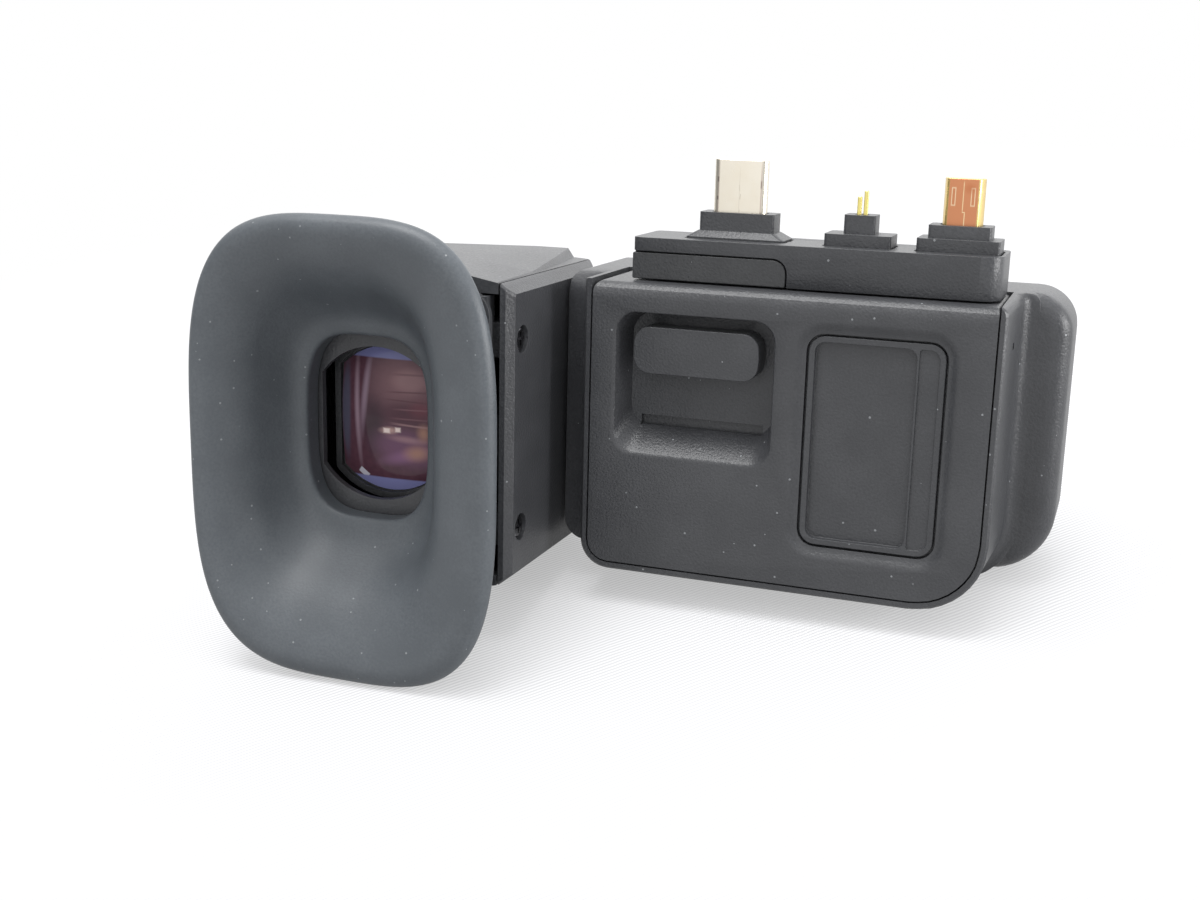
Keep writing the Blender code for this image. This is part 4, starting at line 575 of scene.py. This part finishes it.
def lensGrid(e, front):
    # Paraboloid caps over a flatted disc: y = edge + sag (1 - (r / R)^2), r at most R and |x| at most the flat.
    share = np.linspace(0, 1, e["rings"])[:, None]
    angle = np.linspace(0, 2 * math.pi, e["around"], endpoint=False)[None, :]
    x, z = e["radius"] * np.cos(angle), e["radius"] * np.sin(angle)
    x = np.clip(x, -e["flat"], e["flat"])
    x, z = share * x, share * z
    bulge = e["sag"] * (1 - (x ** 2 + z ** 2) / e["radius"] ** 2)
    half = e["thickness"] / 2 - e["sag"]
    side = -1 if front else 1
    y = e["centre"][1] - e["thickness"] / 2 + side * (half + bulge)
    return np.stack([e["centre"][0] + x, y, e["centre"][2] + z], -1)


def buildLens():
    grid = np.concatenate([lensGrid(eyeLens, True), lensGrid(eyeLens, False)[::-1]])
    piece = gridPiece("eye_lens_glass", "lens", grid, angle=40)
    dress(piece, paintedLensReflections())
    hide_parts("eye_lens")


buildLens()


# Plugs

print("stage: plugs")


def sleeveGrid(outline, low, high, wall, floor):
    # A sheet sleeve: the outline goes up the outside, rolls over the mouth and comes down the inside.
    roll = np.linspace(0, math.pi, 7)
    foot = plugs["foot"]
    insets = np.concatenate([[foot, 0.0], wall / 2 * (1 - np.cos(roll)), [wall, wall]])
    heights = np.concatenate([[low, low + foot], high - wall / 2 + wall / 2 * np.sin(roll),
                              [floor + plugs["seatRing"], floor]])
    rings = []
    for inset, height in zip(insets, heights):
        flat = outline(inset)
        rings.append(np.column_stack([flat, np.full(len(flat), height)]))
    return np.stack(rings)


def dataSection(inset):
    width, depth = plugs["dataSize"]
    flat = roundedOutline(width - 2 * inset, depth - 2 * inset, depth * plugs["dataRound"] - inset, 10)
    return flat + (plugs["dataX"], plugs["line"])


def videoSection(inset):
    # Straight back half, front half drawn in towards the face, with small round corners.
    width, depth = plugs["videoSize"]
    corner = plugs["videoCorner"] - plugs["videoInner"] * inset
    flat = roundedOutline(width - 2 * inset, depth - 2 * inset, corner, 8)
    forward = np.clip(-flat[:, 1] / (depth / 2), 0, 1)
    narrow = (width / 2 - plugs["videoNarrow"] * forward) / (width / 2)
    flat[:, 0] *= narrow
    return flat + (plugs["videoX"], plugs["line"])


def buildShells():
    p = plugs
    floor = p["floor"] + p["seatDepth"]
    for name, outline, top, material, slotName in (
            ("data_plug", dataSection, p["dataTop"], nickelPlate, "plug_steel"),
            ("video_plug", videoSection, p["videoTop"], goldWithPaintedLight, "plug_gold")):
        grid = sleeveGrid(outline, p["floor"], top, p["wall"], floor)
        piece = gridPiece(name + "_sleeve", "base", grid, capFirst=True, capLast=True)
        dress(piece, material)
        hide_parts(name + "_shell")


def buildPins():
    # Square pins with a round tip: half side = s/2 sqrt(1 - t^2) over the last half side.
    p = plugs
    for name, side, length in (("contact_pin_long", 1, p["longPin"]), ("contact_pin_short", -1, p["shortPin"])):
        tip = np.sin(np.linspace(0, 0.5 * math.pi, 6))
        left = np.sqrt(np.clip(1 - tip ** 2, p["pinTip"], 1))
        insets = np.concatenate([[p["pinFoot"], 0.0], p["pinSide"] / 2 * (1 - left)])
        heights = np.concatenate([[p["floor"], p["floor"] + p["pinFoot"]],
                                  p["pinBase"] + length - p["pinSide"] / 2 * (1 - tip)])
        rings = []
        for inset, height in zip(insets, heights):
            width = p["pinSide"] - 2 * inset
            flat = roundedOutline(width, width, width * p["pinRound"], 4)
            flat += (p["contactX"] + side * p["pinPitch"] / 2, p["line"])
            rings.append(np.column_stack([flat, np.full(len(flat), height)]))
        piece = gridPiece(name + "_gilt", "base", np.stack(rings), capFirst=True, capLast=True)
        dress(piece, goldPlate)
        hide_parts(name)


buildShells()
buildPins()


# Housings: the solids with rolled edges

print("stage: housings")
softened = {
    "rear_cover": (charcoalAbs, "charcoal_plastic", 0.35),
    "storage_tray": (charcoalAbs, "charcoal_plastic", 0.2),
    "base_shell": (charcoalAbs, "charcoal_plastic", 0.3),
    "connector_block": (charcoalAbs, "charcoal_plastic", 0.2),
    "connector_panel": (blackAbs, "dark_plastic", 0.15),
    "data_plug_collar": (charcoalAbs, "dark_plastic", 0.2),
    "contact_collar": (charcoalAbs, "dark_plastic", 0.2),
    "video_plug_collar": (charcoalAbs, "dark_plastic", 0.2),
    "selector_lever": (charcoalAbs, "charcoal_plastic", 0.15),
    "head_cover": (charcoalAbs, "charcoal_plastic", 0.25),
    "head_bottom_cover": (charcoalAbs, "charcoal_plastic", 0.2),
    "eyepiece_frame": (charcoalAbs, "dark_plastic", 0.2),
    "lens_ring": (blackAbs, "dark_plastic", 0.12),
    "lens_barrel": (blackAbs, "dark_plastic", 0.15),
    "diopter_dial": (blackAbs, "dark_plastic", 0.12),
    "hinge_knuckle": (blackOxide, "black_steel", 0.15),
}
for node, (material, slotName, width) in softened.items():
    softCopy(node, material, width)

plainFinishes = {
    "charcoal_plastic": charcoalAbs, "dark_plastic": blackAbs, "soft_rubber": siliconeRubber,
    "plug_steel": nickelPlate, "plug_gold": goldPlate, "contact_insert": blackMoulding,
    "black_steel": steelWithPaintedSheen, "bright_steel": brightSteel, "circuit_board": solderResist,
    "chip_black": blackMoulding, "coated_glass": clearGlass, "display_black": displayBlack,
}
slotOf = {part["node"]: part["material_slot"] for part in frame["record"]["subparts"]}
for node, source in nodes.items():
    for slot in source.material_slots:
        slot.material = plainFinishes[slotOf[node]]
    if not source.material_slots:
        source.data.materials.append(plainFinishes[slotOf[node]])


# Stage, light and camera

print("stage: light and camera")
stageSetup = {
    # The plane that the part rests on: its normal, and its distance in millimetres
    "floorUp": (-0.0305, -0.2034, 0.9786), "floorOffset": -54.1577, "floorReach": 3.0,
    "weaveGap": 0.7, "weaveTurn": 0.75, "fadeFrom": 0.11, "fadeTo": 0.3, "clothGlow": 0.45,
    # Levels of the tent, and the range of the direction's Z or Y over which each comes in
    "skyHorizon": 0.22, "skyTop": 1.15, "skyBack": 1.2, "skyFront": 0.75,
    "topRange": (0.15, 0.95), "backRange": (0.3, 0.95), "frontRange": (-0.5, -0.98),
    # Place and size in metres, and power in watts
    "lamps": {
        "softbox": ((-0.15, -0.2, 0.74), (0.45, 0.45), 4.3),
        "side softbox": ((0.62, 0.02, 0.12), (0.4, 0.3), 3.0),
    },
    "lampAim": (0, 0, -0.02),
    # Place in millimetres, turn in degrees
    "cameraPlace": (48.712, -223.617, 21.582), "cameraTurn": (76.4893, -1.3847, 20.2742), "cameraLens": 44.961,
    "cameraSensor": 36,
}


def buildFloor():
    # A pale cloth that the eyecup and the base lie on. It fades to the background away from the object.
    e = stageSetup
    up = Vector(e["floorUp"]).normalized()
    middle = up * e["floorOffset"] * mm
    right = Vector((1, 0, 0)).cross(up).normalized()
    front = right.cross(up)
    mesh = bpy.data.meshes.new("floor")
    reach = e["floorReach"]
    corners = [middle + right * a * reach + front * b * reach for a, b in ((-1, -1), (1, -1), (1, 1), (-1, 1))]
    mesh.from_pydata([tuple(c) for c in corners], [], [(0, 1, 2, 3)])
    floor = bpy.data.objects.new("floor", mesh)
    scene.collection.objects.link(floor)
    material, tree, shader, place = newMaterial("paleCloth")
    seen = addNode(tree, "ShaderNodeLightPath")
    # Twill weave: lines 0.7 mm apart across the cloth, so the scale is 2 pi / (20 * 0.0007), with slack threads
    turned = addNode(tree, "ShaderNodeMapping", {"Vector": place, "Rotation": (0, 0, e["weaveTurn"])})
    weave = addNode(tree, "ShaderNodeTexWave", {"Vector": turned.outputs[0],
                                                "Scale": 2 * math.pi / (20 * e["weaveGap"] * mm),
                                                "Distortion": 1.5, "Detail": 2.0, "Detail Scale": 0.6})
    thread = blend(tree, weave.outputs["Fac"], linear("#c2c3c8"), linear("#fbfbfd"))
    # The tent's far side sends back less light than the cloth in view, so the undersides stay dark
    thread = blend(tree, seen.outputs["Is Camera Ray"], linear("#9a9a9b"), thread)
    tree.links.new(thread, shader.inputs["Base Color"])
    shader.inputs["Roughness"].default_value = 0.9
    # Towards the camera and in reflections the cloth glows white: 0.45 of the mix near the object, a glow that
    # lifts the shadows cast on it, rising to all of it from 0.3 m away
    far = addNode(tree, "ShaderNodeVectorMath", {0: place}, operation="LENGTH")
    fade = addNode(tree, "ShaderNodeMapRange", {"Value": far.outputs["Value"], "From Min": e["fadeFrom"],
                                                "From Max": e["fadeTo"], "To Min": e["clothGlow"]})
    either = addNode(tree, "ShaderNodeMath", {0: seen.outputs["Is Camera Ray"], 1: seen.outputs["Is Glossy Ray"]},
                     operation="ADD", use_clamp=True)
    share = addNode(tree, "ShaderNodeMath", {0: fade.outputs[0], 1: either.outputs[0]}, operation="MULTIPLY")
    white = addNode(tree, "ShaderNodeEmission", {"Color": (1, 1, 1, 1), "Strength": 1.0})
    mix = addNode(tree, "ShaderNodeMixShader", {0: share.outputs[0], 1: shader.outputs[0], 2: white.outputs[0]})
    tree.links.new(mix.outputs[0], tree.nodes["Material Output"].inputs["Surface"])
    mesh.materials.append(material)


def buildSky():
    # White for the camera and through glass. For the rest a pale tent: dim round the horizon, bright overhead
    # (level = horizon + (top - horizon) smoothstep(z)) and brighter again behind the object and behind the camera
    e = stageSetup
    world = bpy.data.worlds.new("sky")
    scene.world = world
    world.use_nodes = True
    tree = world.node_tree
    way = addNode(tree, "ShaderNodeSeparateXYZ", {0: addNode(tree, "ShaderNodeTexCoord").outputs["Generated"]})
    high, behind, before = (
        addNode(tree, "ShaderNodeMapRange", {"Value": way.outputs[axis], "From Min": e[span][0],
                                             "From Max": e[span][1], "To Min": low, "To Max": e[level]},
                interpolation_type="SMOOTHSTEP")
        for axis, span, low, level in ((2, "topRange", e["skyHorizon"], "skyTop"), (1, "backRange", 0, "skyBack"),
                                       (1, "frontRange", 0, "skyFront")))
    tent = addNode(tree, "ShaderNodeMath", {0: high.outputs[0], 1: behind.outputs[0]}, operation="ADD")
    tent = addNode(tree, "ShaderNodeMath", {0: tent.outputs[0], 1: before.outputs[0]}, operation="ADD")
    rays = addNode(tree, "ShaderNodeLightPath")
    seen = addNode(tree, "ShaderNodeMath", {0: rays.outputs["Is Camera Ray"],
                                            1: rays.outputs["Is Transmission Ray"]},
                   operation="ADD", use_clamp=True)
    level = addNode(tree, "ShaderNodeMapRange", {"Value": seen.outputs[0], "To Min": tent.outputs[0],
                                                 "To Max": 1.0})
    sky = tree.nodes["Background"]
    sky.inputs["Color"].default_value = (1, 1, 1, 1)
    tree.links.new(level.outputs[0], sky.inputs["Strength"])


def addLamps():
    for name, (place, size, power) in stageSetup["lamps"].items():
        lamp = bpy.data.lights.new(name, "AREA")
        lamp.shape = "RECTANGLE"
        lamp.size, lamp.size_y = size
        lamp.energy = power
        holder = bpy.data.objects.new(name, lamp)
        scene.collection.objects.link(holder)
        holder.location = place
        way = Vector(stageSetup["lampAim"]) - Vector(place)
        holder.rotation_euler = way.to_track_quat("-Z", "Y").to_euler()


def buildCamera():
    lens = bpy.data.cameras.new("camera")
    lens.sensor_width = stageSetup["cameraSensor"]
    lens.lens = stageSetup["cameraLens"]
    lens.clip_start = 0.01
    camera = bpy.data.objects.new("camera", lens)
    scene.collection.objects.link(camera)
    camera.location = Vector(stageSetup["cameraPlace"]) * mm
    camera.rotation_euler = [math.radians(a) for a in stageSetup["cameraTurn"]]
    scene.camera = camera


buildFloor()
buildSky()
addLamps()
buildCamera()
scene.view_settings.view_transform = "Standard"
